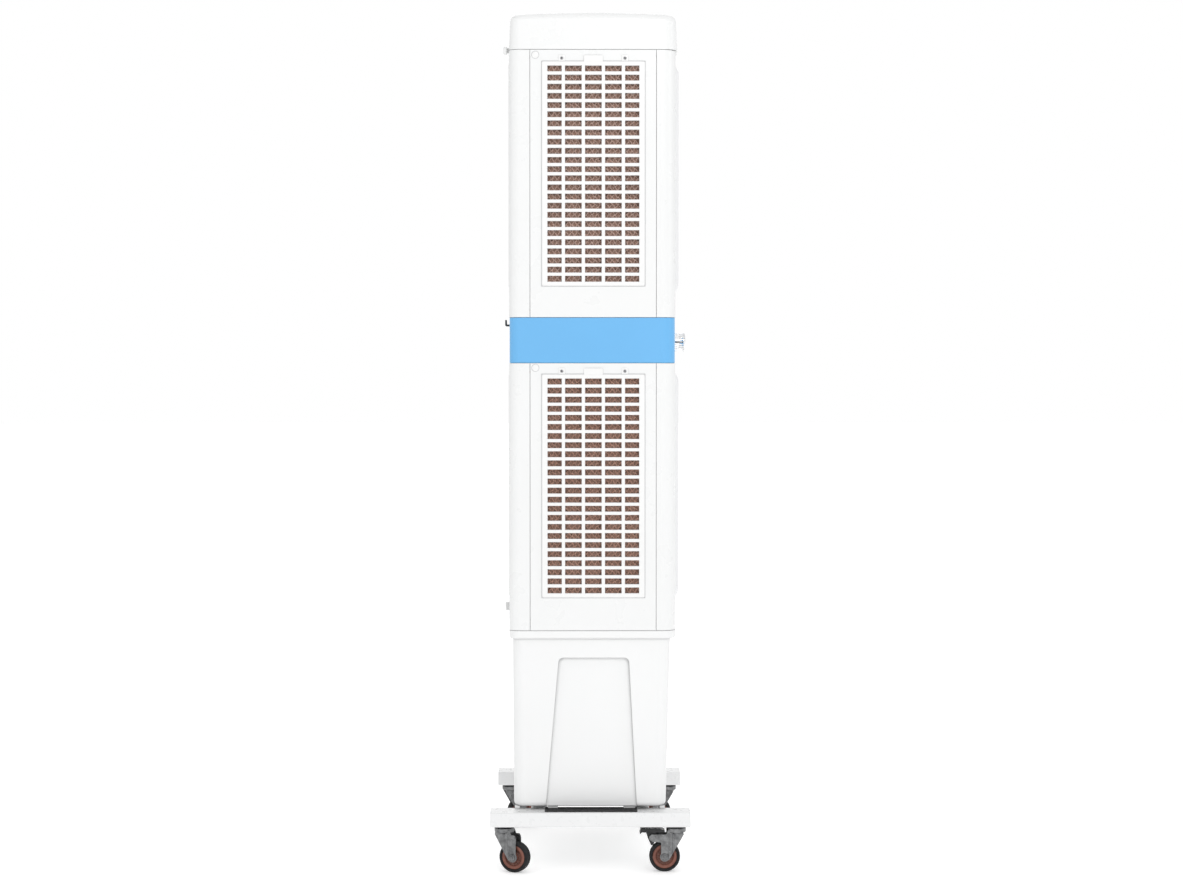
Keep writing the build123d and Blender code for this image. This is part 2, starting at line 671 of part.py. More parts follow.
def drain_cap():
    """The screw plug that empties the tank, with a finger bar."""
    start = DRAIN_FACE + 0.3
    cap = rod((start, RECESS_Y, DRAIN_Z), (start + 7, RECESS_Y, DRAIN_Z), 22)
    cap = fillet(cap.edges().sort_by(Axis.X)[-1], 2)
    cap += rod((start - 12, RECESS_Y, DRAIN_Z), (start + 1, RECESS_Y, DRAIN_Z), DRAIN_RADIUS)
    bar_y = (RECESS_Y - 18, RECESS_Y + 18)
    bar = block((start + 6, start + 18), bar_y, (DRAIN_Z - 4, DRAIN_Z + 4))
    return cap + fillet(bar.edges().filter_by(Axis.X), 2.5)


# ---------------------------------------------------------------- water circuit
def pump():
    """The submersible pump on the tank floor, with its strainer foot and outlet."""
    floor = TANK_BASE + TANK_WALL
    foot_length, foot_width, foot_height = PUMP_FOOT
    case_length, case_width, case_height = PUMP_CASE
    spout_radius, spout_height = PUMP_SPOUT
    foot = Pos(RISER_X, RISER_Y, floor) * extrude(rounded(foot_length, foot_width, 10), foot_height)
    case_low = floor + foot_height
    case = Pos(RISER_X, RISER_Y, case_low) * extrude(rounded(case_length, case_width, 14), case_height)
    case = fillet(case.faces().sort_by(Axis.Z)[-1].edges(), 6)
    top = case_low + case_height
    spout = rod((RISER_X, RISER_Y, top - 2), (RISER_X, RISER_Y, top + spout_height), spout_radius)
    return foot + case + spout


def water_pipes():
    """The riser from the pump and the perforated feed pipes over the pads."""
    start = TANK_BASE + TANK_WALL + PUMP_FOOT[2] + PUMP_CASE[2] + PUMP_SPOUT[1]
    levels = []
    for sizes in MODULES.values():
        levels.append(sizes["grille_low"] + GRILLE_HEIGHT + PAD_LAP + ELBOW_RADIUS + 1)
    top = max(levels) + ELBOW_RADIUS
    pipes = rod((RISER_X, RISER_Y, start), (RISER_X, RISER_Y, top), RISER_RADIUS)
    for z in levels:
        corners = [
            (-SPRAY_X, -120, z),
            (-SPRAY_X, SPRAY_Y, z),
            (SPRAY_X, SPRAY_Y, z),
            (SPRAY_X, -120, z),
        ]
        for a, b in zip(corners, corners[1:]):
            pipes += rod(a, b, SPRAY_RADIUS)
        for corner in corners[1:3]:
            pipes += Pos(*corner) * Cylinder(ELBOW_RADIUS, 2 * ELBOW_RADIUS)
        pipes += rod((RISER_X, RISER_Y, z), (-SPRAY_X, RISER_Y, z), SPRAY_RADIUS - 1)
    return pipes


def water_inlet():
    """The hose stub on the rear panel, its inner pipe and the valve block of the float."""
    stub = rod((INLET_X, VALVE_Y, INLET_Z), (INLET_X, BODY_REAR + 1, INLET_Z), INLET_PIPE_RADIUS)
    tip_y = BODY_REAR + INLET_LENGTH
    stub += rod((INLET_X, BODY_REAR, INLET_Z), (INLET_X, tip_y, INLET_Z), INLET_RADIUS)
    collar_radius, collar_length = INLET_COLLAR
    collar_y = BODY_REAR - WALL
    stub += rod((INLET_X, collar_y - collar_length, INLET_Z), (INLET_X, collar_y, INLET_Z), collar_radius)
    stub += rod((INLET_X, VALVE_Y, VALVE_Z), (INLET_X, VALVE_Y, INLET_Z), INLET_PIPE_RADIUS - 1)
    stub += Pos(INLET_X, VALVE_Y, INLET_Z) * Sphere(INLET_PIPE_RADIUS + 1)
    valve = block((INLET_X - 15, INLET_X + 15), (VALVE_Y - 12, VALVE_Y + 12), (VALVE_Z - 22, VALVE_Z + 4))
    for side in (-1, 1):
        x = sorted((INLET_X + side * 10, INLET_X + side * 15))
        valve += block(x, (VALVE_Y - 28, VALVE_Y - 10), (VALVE_Z - 22, VALVE_Z))
    stub += valve
    bore = block((INLET_X - 5, INLET_X + 5), (VALVE_Y + 2, VALVE_Y + 6), (VALVE_Z - 23, VALVE_Z - 8))
    stub -= bore
    stub -= rod((INLET_X, BODY_REAR + 3, INLET_Z), (INLET_X, tip_y + 1, INLET_Z), INLET_BORE)
    pin_start = (INLET_X - 12, FLOAT_PIVOT_Y, FLOAT_PIVOT_Z)
    pin_end = (INLET_X + 12, FLOAT_PIVOT_Y, FLOAT_PIVOT_Z)
    return stub + rod(pin_start, pin_end, FLOAT_PIN_RADIUS)


def float_arm():
    """The float on its arm, hanging at its lower stop with the tank empty."""
    eye = rod((-9, 0, 0), (9, 0, 0), 6)
    arm = rod((0, -4, 0), (0, 10 - FLOAT_ARM, 0), 3)
    ball = Pos(0, -FLOAT_ARM, 0) * Sphere(FLOAT_RADIUS)
    part = eye + arm + ball
    part -= rod((-20, 0, 0), (20, 0, 0), FLOAT_PIN_RADIUS + RUNNING)
    return Pos(INLET_X, FLOAT_PIVOT_Y, FLOAT_PIVOT_Z) * Rot(FLOAT_DROOP, 0, 0) * part


# ---------------------------------------------------------------- trolley and casters
def rail():
    """The left box rail, closed at both ends, with a hole for each caster stem."""
    z = (RAIL_BASE, RAIL_TOP)
    bar = block((-RAIL_OUTER_X, -RAIL_OUTER_X + RAIL_WIDTH), (-RAIL_LENGTH / 2, RAIL_LENGTH / 2), z)
    bar = fillet(bar.edges().filter_by(Axis.Y), 4)
    inner_x = (-RAIL_OUTER_X + RAIL_WALL, -RAIL_OUTER_X + RAIL_WIDTH - RAIL_WALL)
    end = RAIL_LENGTH / 2 - RAIL_WALL
    bar -= block(inner_x, (-end, end), (RAIL_BASE + RAIL_WALL, RAIL_TOP - RAIL_WALL))
    for y in (-KINGPIN_Y, KINGPIN_Y):
        bar -= rod((-RAIL_X, y, 0), (-RAIL_X, y, RAIL_BASE + 10), KINGPIN_RADIUS)
    return bar


def crossbars():
    """The two cross members that join the rails under the tank."""
    inner = RAIL_OUTER_X - RAIL_WIDTH
    bars = []
    for y in (-CROSSBAR_Y, CROSSBAR_Y):
        half = CROSSBAR_WIDTH / 2
        z = (RAIL_BASE + CROSSBAR_LIFT, RAIL_BASE + CROSSBAR_LIFT + CROSSBAR_HEIGHT)
        bar = block((-inner, inner), (y - half, y + half), z)
        bar = fillet(bar.edges().filter_by(Axis.X), 3)
        hole_z = (z[0] + RAIL_WALL, z[1] - RAIL_WALL)
        bar -= block((-inner - 1, inner + 1), (y - half + RAIL_WALL, y + half - RAIL_WALL), hole_z)
        bars.append(bar)
    return Compound(children=bars)


def rest_strips():
    """The rubber strip on each rail that the middle of the tank rests on."""
    y = (RECESS_Y - REST_STRIP_HALF, RECESS_Y + REST_STRIP_HALF)
    strip = block(REST_STRIP_X, y, (RAIL_TOP, RAIL_TOP + REST_STRIP_HEIGHT))
    return Compound(children=[strip, mirrored(strip)])


def caster_stems():
    """Each caster's upper race, stem and rivet head, with its nut inside the rail."""
    stems = []
    for place in CASTERS.values():
        stem = Cylinder(KINGPIN_RADIUS, RAIL_TOP - 8 - CROWN_LOW, align=BOTTOM)
        stem = Pos(0, 0, CROWN_LOW) * stem
        race_low = CROWN_HIGH + RACE_GAP
        race = Pos(0, 0, race_low) * Cylinder(RACE_RADIUS, RAIL_BASE - race_low, align=BOTTOM)
        head_low = CROWN_LOW - RACE_GAP - RIVET_HEIGHT
        head = Pos(0, 0, head_low) * Cylinder(RIVET_RADIUS, RIVET_HEIGHT, align=BOTTOM)
        neck = Pos(0, 0, CROWN_LOW - 1) * Cylinder(KINGPIN_RADIUS, 4, align=BOTTOM)
        hexagon = RegularPolygon(STEM_NUT_APOTHEM, 6, major_radius=False)
        nut = Pos(0, 0, RAIL_BASE + RAIL_WALL) * extrude(hexagon, 10)
        stems.append(Pos(place["x"], place["y"], 0) * (stem + race + head + neck + nut))
    return Compound(children=stems)


def cheek_outline(brake):
    """One fork cheek, as (trail, height) points round to its axle end."""
    ear = [(37, 72), (47, 74), (57, 73.5), (66, 80), (66, 87), (60, 92), (24, 92)]
    plain = [(37, 84), (33, 92), (24, 92)]
    rear = ear if brake else plain
    head = [(20, 103), (-16, 103), (-18, 92)]
    outline = [(17.5, 30), (37, 34)] + rear + head
    return outline


def fork(brake):
    """A pressed swivel fork with its ball crown, and the axle bolt through its cheeks."""
    outer = CHEEK_INSIDE + CHEEK_THICKNESS
    crown = Pos(0, 0, CROWN_LOW) * Cylinder(CROWN_RADIUS, CROWN_HIGH - CROWN_LOW, align=BOTTOM)
    crown = fillet(crown.edges(), CROWN_ROUND)
    cheek = prism_x(cheek_outline(brake), CHEEK_INSIDE, outer)
    tip = (CASTER_TRAIL, WHEEL_RADIUS)
    cheek += rod((CHEEK_INSIDE, *tip), (outer, *tip), CHEEK_TIP_RADIUS)
    rib_shape = prism_x(cheek_outline(brake), CHEEK_INSIDE, outer + 5)
    for y, low in ((7, 47), (18, 34)):
        rib = rod((outer - 0.6, y, low), (outer - 0.6, y, 94), 2.2)
        cheek += rib & rib_shape
    body = crown + cheek + mirrored(cheek)
    bridge = block((-outer, outer), (-15, 19), (CROWN_LOW - 3, CROWN_LOW + 3))
    body += bridge
    body -= rod((0, 0, CROWN_LOW - 20), (0, 0, 200), KINGPIN_RADIUS + RUNNING)
    body -= rod((0, 0, CROWN_LOW - 20), (0, 0, CROWN_LOW), RIVET_WELL_RADIUS)
    body -= rod((-BIG, *tip), (BIG, *tip), AXLE_RADIUS + SOLID_GAP)
    if brake:
        body -= rod((-BIG, *PEDAL_PIVOT), (BIG, *PEDAL_PIVOT), PEDAL_PIN_RADIUS + SOLID_GAP)
    axle = rod((-outer - 5, *tip), (outer + 5, *tip), AXLE_RADIUS)
    for side in (-1, 1):
        nut = Plane(origin=(side * (outer + SOLID_GAP), *tip), z_dir=(side, 0, 0))
        axle += nut * extrude(RegularPolygon(AXLE_NUT_APOTHEM, 6, major_radius=False), 4)
    solids = [body, axle]
    if brake:
        solids.append(rod((-outer - 1, *PEDAL_PIVOT), (outer + 1, *PEDAL_PIVOT), PEDAL_PIN_RADIUS))
    return Compound(children=solids)


def pedal():
    """The brake pedal: a tread plate, a web and the shoe that meets the tyre."""
    web = [(48, 98), (74, 98), (69, 82), (61, 64.5), (55.5, 66), (50, 80)]
    part = prism_x(web, -PEDAL_WEB_HALF, PEDAL_WEB_HALF)
    tread = [(28, 97), (84, 97), (87, 93), (89, 94.5), (86.5, 106), (40, 106), (28, 101)]
    part += prism_x(tread, -PEDAL_HALF_WIDTH, PEDAL_HALF_WIDTH)
    return part - rod((-BIG, *PEDAL_PIVOT), (BIG, *PEDAL_PIVOT), PEDAL_PIN_RADIUS + RUNNING)


def hub():
    """The moulded wheel centre, turned about its own axis along X."""
    half = HUB_WIDTH / 2
    rim = TREAD_WIDTH / 2 - 1
    outline = [
        (AXLE_RADIUS + RUNNING, 0),
        (AXLE_RADIUS + RUNNING, half),
        (12, half),
        (13.5, half - 5.5),
        (20, half - 5.5),
        (21.5, rim),
        (28, rim),
        (HUB_RADIUS, rim - 2),
        (HUB_RADIUS, 0),
    ]
    face = make_face(Polyline(*outline, close=True))
    turned = revolve(Plane.XZ * face, Axis.Z)
    return turned + mirror(turned, about=Plane.XY)


def tyre():
    """The rubber tyre, with rounded shoulders."""
    ring_face = Pos((WHEEL_RADIUS + HUB_RADIUS) / 2, 0) * Rectangle(WHEEL_RADIUS - HUB_RADIUS, TREAD_WIDTH)
    ring_face = fillet(ring_face.vertices().group_by(Axis.X)[-1], 4)
    return revolve(Plane.XZ * ring_face, Axis.Z)


def casters():
    """The fork, hub, tyre and brake pedal of each caster, turned to where it stands."""
    nodes = {}
    for name, place in CASTERS.items():
        stand = Pos(place["x"], place["y"], 0) * Rot(0, 0, place["turn"])
        wheel = stand * Pos(0, CASTER_TRAIL, WHEEL_RADIUS) * Rot(0, 90, 0)
        nodes["caster_fork_" + name] = stand * fork(place["brake"])
        nodes["caster_hub_" + name] = wheel * hub()
        nodes["caster_tyre_" + name] = wheel * tyre()
        if place["brake"]:
            nodes["brake_pedal_" + name] = stand * pedal()
    return nodes


# ---------------------------------------------------------------- small fittings
def screw_pair(offset, z):
    """Two screw heads at one height, made on the XZ plane."""
    return [rod((x, 0, z), (x, SCREW_PROUD, z), SCREW_RADIUS) for x in (-offset, offset)]


def screws():
    """The grille screws and the round covers over the panel screws."""
    solids = []
    for sizes in MODULES.values():
        top = sizes["grille_low"] + GRILLE_HEIGHT
        solids += screw_pair(SIDE_SCREW_OFFSET, top + SCREW_LIFT)
        cover_z = top + COVER_LIFT
        solids.append(rod((COVER_OFFSET, 0, cover_z), (COVER_OFFSET, COVER_PROUD, cover_z), COVER_RADIUS))
    left = [to_left(solid) for solid in solids]
    rear = []
    for sizes in MODULES.values():
        pair = screw_pair(REAR_SCREW_OFFSET, sizes["grille_low"] + GRILLE_HEIGHT + SCREW_LIFT)
        rear += [to_rear(screw) for screw in pair]
    return Compound(children=left + [mirrored(solid) for solid in left] + rear)


def rear_fittings():
    """The cord hook, the lid latch button and the cable grommet on the rear."""
    face = BODY_REAR - BAND_INSET
    width = (-HOOK_HALF_WIDTH, HOOK_HALF_WIDTH)
    tip = face + HOOK_DEPTH
    hook = block(width, (face, face + HOOK_METAL), (0, HOOK_HEIGHT))
    hook += block(width, (face, tip), (0, HOOK_METAL))
    hook += block(width, (tip - HOOK_METAL, tip), (0, HOOK_HEIGHT - HOOK_LIP_DROP))
    hook = Pos(HOOK_X, 0, HOOK_LOW) * fillet(hook.edges().filter_by(Axis.X), HOOK_ROUND)
    button = rod((BUTTON_X, BODY_REAR, BUTTON_Z), (BUTTON_X, BODY_REAR + 6, BUTTON_Z), 6)
    button_tip = BODY_REAR + BUTTON_PROUD
    button += rod((BUTTON_X, BODY_REAR + 5, BUTTON_Z), (BUTTON_X, button_tip, BUTTON_Z), BUTTON_RADIUS)
    grommet = rod((GROMMET_X, face - 4, GROMMET_Z), (GROMMET_X, face + 2.5, GROMMET_Z), GROMMET_BORE)
    grommet += rod((GROMMET_X, face, GROMMET_Z), (GROMMET_X, face + 2.5, GROMMET_Z), 12)
    grommet -= rod((GROMMET_X, face - 9, GROMMET_Z), (GROMMET_X, face + 9, GROMMET_Z), 4.5)
    return Compound(children=[hook, button, grommet])


# ---------------------------------------------------------------- assembly
def assembly():
    """Every node of the cooler by name."""
    nodes = {
        "trolley_rail_left": rail(),
        "trolley_rail_right": mirrored(rail()),
        "trolley_crossbars": crossbars(),
        "caster_stems": caster_stems(),
        "water_tank": water_tank(),
        "drain_cap": drain_cap(),
        "pump": pump(),
        "water_pipes": water_pipes(),
        "water_inlet": water_inlet(),
        "float_arm": float_arm(),
        "control_band": control_band(),
        "control_knob": control_knob(),
        "top_cap": top_cap(),
        "panel_screws": screws(),
        "rest_strips": rest_strips(),
        "rear_fittings": rear_fittings(),
    }
    nodes.update(casters())
    for name, sizes in MODULES.items():
        nodes.update(panels(name, sizes))
        nodes.update(intake(name, sizes))
        nodes.update(outlet(name, sizes))
        nodes["fan_" + name] = fan(sizes["outlet_z"])
        nodes["fan_motor_" + name] = fan_motor(sizes["outlet_z"])
    return nodes


os.makedirs("parts", exist_ok=True)
for node_name, node_shape in assembly().items():
    export_step(node_shape, f"parts/{node_name}.step")
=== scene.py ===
import json
import math
import random

import bmesh
import bpy
from mathutils import Matrix, Vector


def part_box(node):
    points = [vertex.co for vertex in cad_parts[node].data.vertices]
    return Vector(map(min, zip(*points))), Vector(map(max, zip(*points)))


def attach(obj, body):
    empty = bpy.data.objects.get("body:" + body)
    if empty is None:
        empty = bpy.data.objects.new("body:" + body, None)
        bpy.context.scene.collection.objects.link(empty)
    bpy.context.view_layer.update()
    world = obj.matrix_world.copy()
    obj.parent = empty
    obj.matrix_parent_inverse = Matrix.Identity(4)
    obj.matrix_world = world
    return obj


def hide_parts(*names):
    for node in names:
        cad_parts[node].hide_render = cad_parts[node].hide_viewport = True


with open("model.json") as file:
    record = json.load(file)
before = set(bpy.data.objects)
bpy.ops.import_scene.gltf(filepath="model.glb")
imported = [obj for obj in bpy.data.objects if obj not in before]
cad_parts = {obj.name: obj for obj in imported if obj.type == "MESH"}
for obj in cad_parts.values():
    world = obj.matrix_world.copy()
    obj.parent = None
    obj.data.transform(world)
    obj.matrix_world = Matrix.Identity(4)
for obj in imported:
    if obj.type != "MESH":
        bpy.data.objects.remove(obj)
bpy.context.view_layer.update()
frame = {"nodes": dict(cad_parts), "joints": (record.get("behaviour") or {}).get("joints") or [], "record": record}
NODES = frame["nodes"]
JOINTS = {joint["name"]: joint for joint in frame["joints"]}
MM = 0.001


# ---------------------------------------------------------------- camera, floor and light
CAMERA_AT = (-6.350, 0.029, 1.2007)
CAMERA_PITCH = 0.0261
CAMERA_YAW = -0.0053
CAMERA_LENS = 75.77
SENSOR_WIDTH = 36.0
FAR_CLIP = 100.0

LAMP_TARGET = (0, 0, 1.1)
LAMPS = {                 # place in metres, disc size in metres, power in watts
    "key_left": ((-5.0, -1.2, 3.6), 2.2, 50),
    "fill_front": ((-1.5, -5.5, 2.4), 1.6, 12),
    "fill_rear": ((-2.5, 5.0, 2.8), 2.6, 5),
    "fill_right": ((4.8, 0.5, 3.4), 2.6, 24),
}
SURROUND_BRIGHT = (0.35, (1.0, 1.0, 1.0, 1.0))
SURROUND_DIM = (0.9, (0.66, 0.665, 0.67, 1.0))
FLOOR_RADIUS = 60.0
FLOOR_SEGMENTS = 96


def add_camera():
    """A long lens on the cooler's left, a little below the height of the control band."""
    data = bpy.data.cameras.new("camera")
    data.lens = CAMERA_LENS
    data.sensor_width = SENSOR_WIDTH
    data.clip_end = FAR_CLIP
    camera = bpy.data.objects.new("camera", data)
    bpy.context.scene.collection.objects.link(camera)
    camera.location = CAMERA_AT
    camera.rotation_euler = (math.pi / 2 - CAMERA_PITCH, 0, CAMERA_YAW - math.pi / 2)
    bpy.context.scene.camera = camera


def add_light(name, place, target, size, energy):
    """A large soft lamp that faces a point."""
    data = bpy.data.lights.new(name, "AREA")
    data.shape = "DISK"
    data.size = size
    data.energy = energy
    lamp = bpy.data.objects.new(name, data)
    bpy.context.scene.collection.objects.link(lamp)
    lamp.location = place
    lamp.rotation_euler = (Vector(target) - Vector(place)).to_track_quat("-Z", "Y").to_euler()


def add_surround():
    """A white world that dims towards the front and the rear of the cooler."""
    world = bpy.data.worlds.new("studio")
    world.use_nodes = True
    tree = world.node_tree
    background = tree.nodes["Background"]
    background.inputs["Strength"].default_value = 1.0
    direction = tree.nodes.new("ShaderNodeTexCoord")
    split = tree.nodes.new("ShaderNodeSeparateXYZ")
    sideways = tree.nodes.new("ShaderNodeMath")
    sideways.operation = "ABSOLUTE"
    fade = tree.nodes.new("ShaderNodeValToRGB")
    for stop, (position, colour) in zip(fade.color_ramp.elements, (SURROUND_BRIGHT, SURROUND_DIM)):
        stop.position = position
        stop.color = colour
    tree.links.new(direction.outputs["Generated"], split.inputs["Vector"])
    tree.links.new(split.outputs["Y"], sideways.inputs[0])
    tree.links.new(sideways.outputs["Value"], fade.inputs["Fac"])
    tree.links.new(fade.outputs["Color"], background.inputs["Color"])
    bpy.context.scene.world = world
    bpy.context.scene.view_settings.view_transform = "Standard"


def add_floor():
    """A wide pale floor at the height of the wheels."""
    mesh = bpy.data.meshes.new("floor")
    bm = bmesh.new()
    bmesh.ops.create_circle(bm, cap_ends=True, segments=FLOOR_SEGMENTS, radius=FLOOR_RADIUS)
    bm.to_mesh(mesh)
    bm.free()
    floor = bpy.data.objects.new("floor", mesh)
    bpy.context.scene.collection.objects.link(floor)
    mesh.materials.append(floor_paint())


def add_studio():
    """A pale floor, a bright surround and soft lamps."""
    add_surround()
    for name, (place, size, energy) in LAMPS.items():
        add_light(name, place, LAMP_TARGET, size, energy)
    add_floor()


# ---------------------------------------------------------------- material building
BEVEL_SAMPLES = 6
CREVICE_SAMPLES = 8
GREATEST_ALBEDO = 0.85


class Shader:
    """A node material with one Principled shader and short ways to add to it."""

    def __init__(self, name, colour, roughness, metallic=0.0):
        self.material = bpy.data.materials.new(name)
        self.material.use_nodes = True
        self.tree = self.material.node_tree
        self.shader = self.tree.nodes["Principled BSDF"]
        self.set("Base Color", (*colour, 1.0))
        self.set("Roughness", roughness)
        self.set("Metallic", metallic)
        self.material.diffuse_color = (*colour, 1.0)
        self.height = None

    def set(self, socket, value):
        self.shader.inputs[socket].default_value = value

    def link(self, source, target):
        self.tree.links.new(source, target)

    def node(self, kind, **inputs):
        made = self.tree.nodes.new(kind)
        for key, value in inputs.items():
            made.inputs[key.replace("_", " ")].default_value = value
        return made

    def place(self, scale=(1, 1, 1)):
        """Object coordinates in metres, stretched by scale."""
        coordinates = self.node("ShaderNodeTexCoord")
        mapping = self.node("ShaderNodeMapping")
        mapping.inputs["Scale"].default_value = scale
        self.link(coordinates.outputs["Object"], mapping.inputs["Vector"])
        return mapping.outputs["Vector"]

    def noise(self, scale, detail=4.0, stretch=(1, 1, 1), roughness=0.55):
        made = self.node("ShaderNodeTexNoise", Scale=scale, Detail=detail, Roughness=roughness)
        self.link(self.place(stretch), made.inputs["Vector"])
        return made.outputs["Fac"]

    def ramp(self, source, low, high, start=0.35, end=0.65):
        """Two values, numbers or colours, mixed by a source between two levels."""
        made = self.tree.nodes.new("ShaderNodeValToRGB")
        stops = made.color_ramp.elements
        for stop, position, value in zip(stops, (start, end), (low, high)):
            stop.position = position
            stop.color = (*value, 1.0) if isinstance(value, tuple) else (value, value, value, 1.0)
        self.link(source, made.inputs["Fac"])
        return made.outputs["Color"]

    def mix(self, share, low, high):
        made = self.tree.nodes.new("ShaderNodeMix")
        made.data_type = "RGBA"
        self.link(share, made.inputs["Factor"])
        for socket, value in (("A", low), ("B", high)):
            target = [i for i in made.inputs if i.name == socket and i.type == "RGBA"][0]
            if isinstance(value, tuple):
                target.default_value = (*value, 1.0)
            else:
                self.link(value, target)
        return [o for o in made.outputs if o.type == "RGBA"][0]

    def colour(self, source):
        self.link(source, self.shader.inputs["Base Color"])

    def rough(self, source):
        self.link(source, self.shader.inputs["Roughness"])

    def bump(self, source, distance, strength=1.0):
        """Adds a height layer in metres under the surface's normal."""
        made = self.node("ShaderNodeBump", Strength=strength, Distance=distance)
        self.link(source, made.inputs["Height"])
        if self.height is not None:
            self.link(self.height, made.inputs["Normal"])
        self.height = made.outputs["Normal"]
        self.link(self.height, self.shader.inputs["Normal"])

    def soften(self, radius):
        """Rounds sharp moulded or pressed edges; call it before any bump."""
        made = self.tree.nodes.new("ShaderNodeBevel")
        made.samples = BEVEL_SAMPLES
        made.inputs["Radius"].default_value = radius
        self.height = made.outputs["Normal"]
        self.link(self.height, self.shader.inputs["Normal"])

    def painted_crevice_shade(self, reach, darkest):
        """Painted shade: a grey from ambient occlusion that falls to darkest where surfaces crowd together within
        reach metres.
        """
        near = self.tree.nodes.new("ShaderNodeAmbientOcclusion")
        near.samples = CREVICE_SAMPLES
        near.inputs["Distance"].default_value = reach
        return self.ramp(near.outputs["AO"], darkest, 1.0, 0.25, 0.85)

    def shade(self, colour, grey):
        """A colour source multiplied by a grey source."""
        made = self.tree.nodes.new("ShaderNodeMix")
        made.data_type = "RGBA"
        made.blend_type = "MULTIPLY"
        made.inputs["Factor"].default_value = 1.0
        colours = [i for i in made.inputs if i.type == "RGBA"]
        self.link(colour, colours[0])
        self.link(grey, colours[1])
        return [o for o in made.outputs if o.type == "RGBA"][0]


def moulded(name, colour, roughness, grain=0.00004, soft=0.0012, tint=0.985, dust_and_crevice_shade=0.55):
    """Injection-moulded plastic: fine grain, slow colour drift, uneven gloss and painted shade in corners."""
    s = Shader(name, colour, roughness)
    s.set("Specular IOR Level", 0.45)
    s.soften(soft)
    drift = s.noise(3.0, 3.0)
    darker = tuple(c * tint for c in colour)
    # painted shade: ambient occlusion darkens the colour in corners and where parts meet
    s.colour(s.shade(s.ramp(drift, darker, colour), s.painted_crevice_shade(0.012, dust_and_crevice_shade)))
    s.rough(s.ramp(s.noise(18.0, 5.0), roughness * 0.85, roughness * 1.2))
    s.bump(s.noise(1400.0, 2.0), grain, 0.5)
    s.bump(s.noise(6.0, 2.0), 0.0002, 0.06)
    return s.material


def floor_paint():
    """Pale studio board, faintly lit from within so that it stays even."""
    s = Shader("studio_board", (0.9, 0.9, 0.9), 0.9)
    s.rough(s.ramp(s.noise(4.0), 0.85, 0.95))
    s.set("Specular IOR Level", 0.1)
    s.set("Emission Color", (1.0, 1.0, 1.0, 1.0))
    s.set("Emission Strength", 0.3)
    return s.material


def powder_coat():
    """White stove enamel over steel, with faint orange peel."""
    s = Shader("white_enamel", (0.81, 0.815, 0.82), 0.28)
    s.soften(0.0016)
    s.set("Coat Weight", 0.25)
    s.set("Coat Roughness", 0.12)
    enamel = s.ramp(s.noise(5.0), (0.75, 0.753, 0.755), (0.765, 0.768, 0.77))
    # painted shade: ambient occlusion darkens the enamel in corners and where parts meet
    s.colour(s.shade(enamel, s.painted_crevice_shade(0.015, 0.45)))
    s.rough(s.ramp(s.noise(60.0), 0.26, 0.32))
    s.bump(s.noise(420.0, 1.0), 0.00001, 0.2)
    return s.material


def zinc():
    """Zinc plate with passivation clouds, press marks, darker grime and painted shade in its hollows."""
    s = Shader("zinc_plate", (0.22, 0.222, 0.225), 0.34, 0.95)
    s.soften(0.0009)
    clouds = s.ramp(s.noise(70.0, 4.0), (0.14, 0.142, 0.145), (0.26, 0.263, 0.266))
    grime = s.ramp(s.noise(24.0, 6.0), 0.0, 0.45, 0.45, 0.75)
    # the grime is random dirt; the ambient-occlusion factor is painted shade in hollows and where parts meet
    s.colour(s.shade(s.mix(grime, clouds, (0.075, 0.073, 0.07)), s.painted_crevice_shade(0.012, 0.12)))
    s.rough(s.ramp(s.noise(110.0, 4.0), 0.26, 0.46))
    s.bump(s.noise(300.0, 3.0, (1, 1, 0.12)), 0.00008, 0.6)
    return s.material


def black_enamel():
    """Black paint on pressed steel, with a fine uneven gloss."""
    s = Shader("black_enamel", (0.02, 0.02, 0.022), 0.38)
    s.soften(0.001)
    s.colour(s.ramp(s.noise(50.0), (0.004, 0.004, 0.005), (0.012, 0.012, 0.013)))
    s.rough(s.ramp(s.noise(90.0), 0.3, 0.5))
    s.bump(s.noise(700.0, 2.0), 0.00006, 0.5)
    return s.material


def hub_nylon():
    """Brick-brown filled nylon with moulding flow marks and painted shade in its recesses."""
    s = Shader("hub_nylon", (0.27, 0.085, 0.05), 0.42)
    s.soften(0.0008)
    flow = s.noise(45.0, 6.0, (1, 1, 1), 0.7)
    brown = s.ramp(flow, (0.13, 0.042, 0.027), (0.22, 0.078, 0.05))
    # painted shade: ambient occlusion darkens the brown in the hub's recesses
    s.colour(s.shade(brown, s.painted_crevice_shade(0.01, 0.15)))
    s.rough(s.ramp(s.noise(120.0), 0.36, 0.55))
    s.bump(s.noise(900.0, 2.0), 0.00005, 0.5)
    return s.material


def tyre_rubber():
    """Black rubber, a little grey and dusty where it rolls."""
    s = Shader("tyre_rubber", (0.018, 0.018, 0.018), 0.72)
    s.set("Specular IOR Level", 0.35)
    dust_and_crevice_shade = s.ramp(s.noise(85.0, 6.0, (1, 1, 1), 0.7), 0.0, 0.5, 0.5, 0.8)
    s.colour(s.mix(dust_and_crevice_shade, (0.008, 0.008, 0.009), (0.04, 0.039, 0.037)))
    s.rough(s.ramp(s.noise(130.0), 0.62, 0.85))
    s.bump(s.noise(1100.0, 3.0), 0.00012, 0.7)
    return s.material


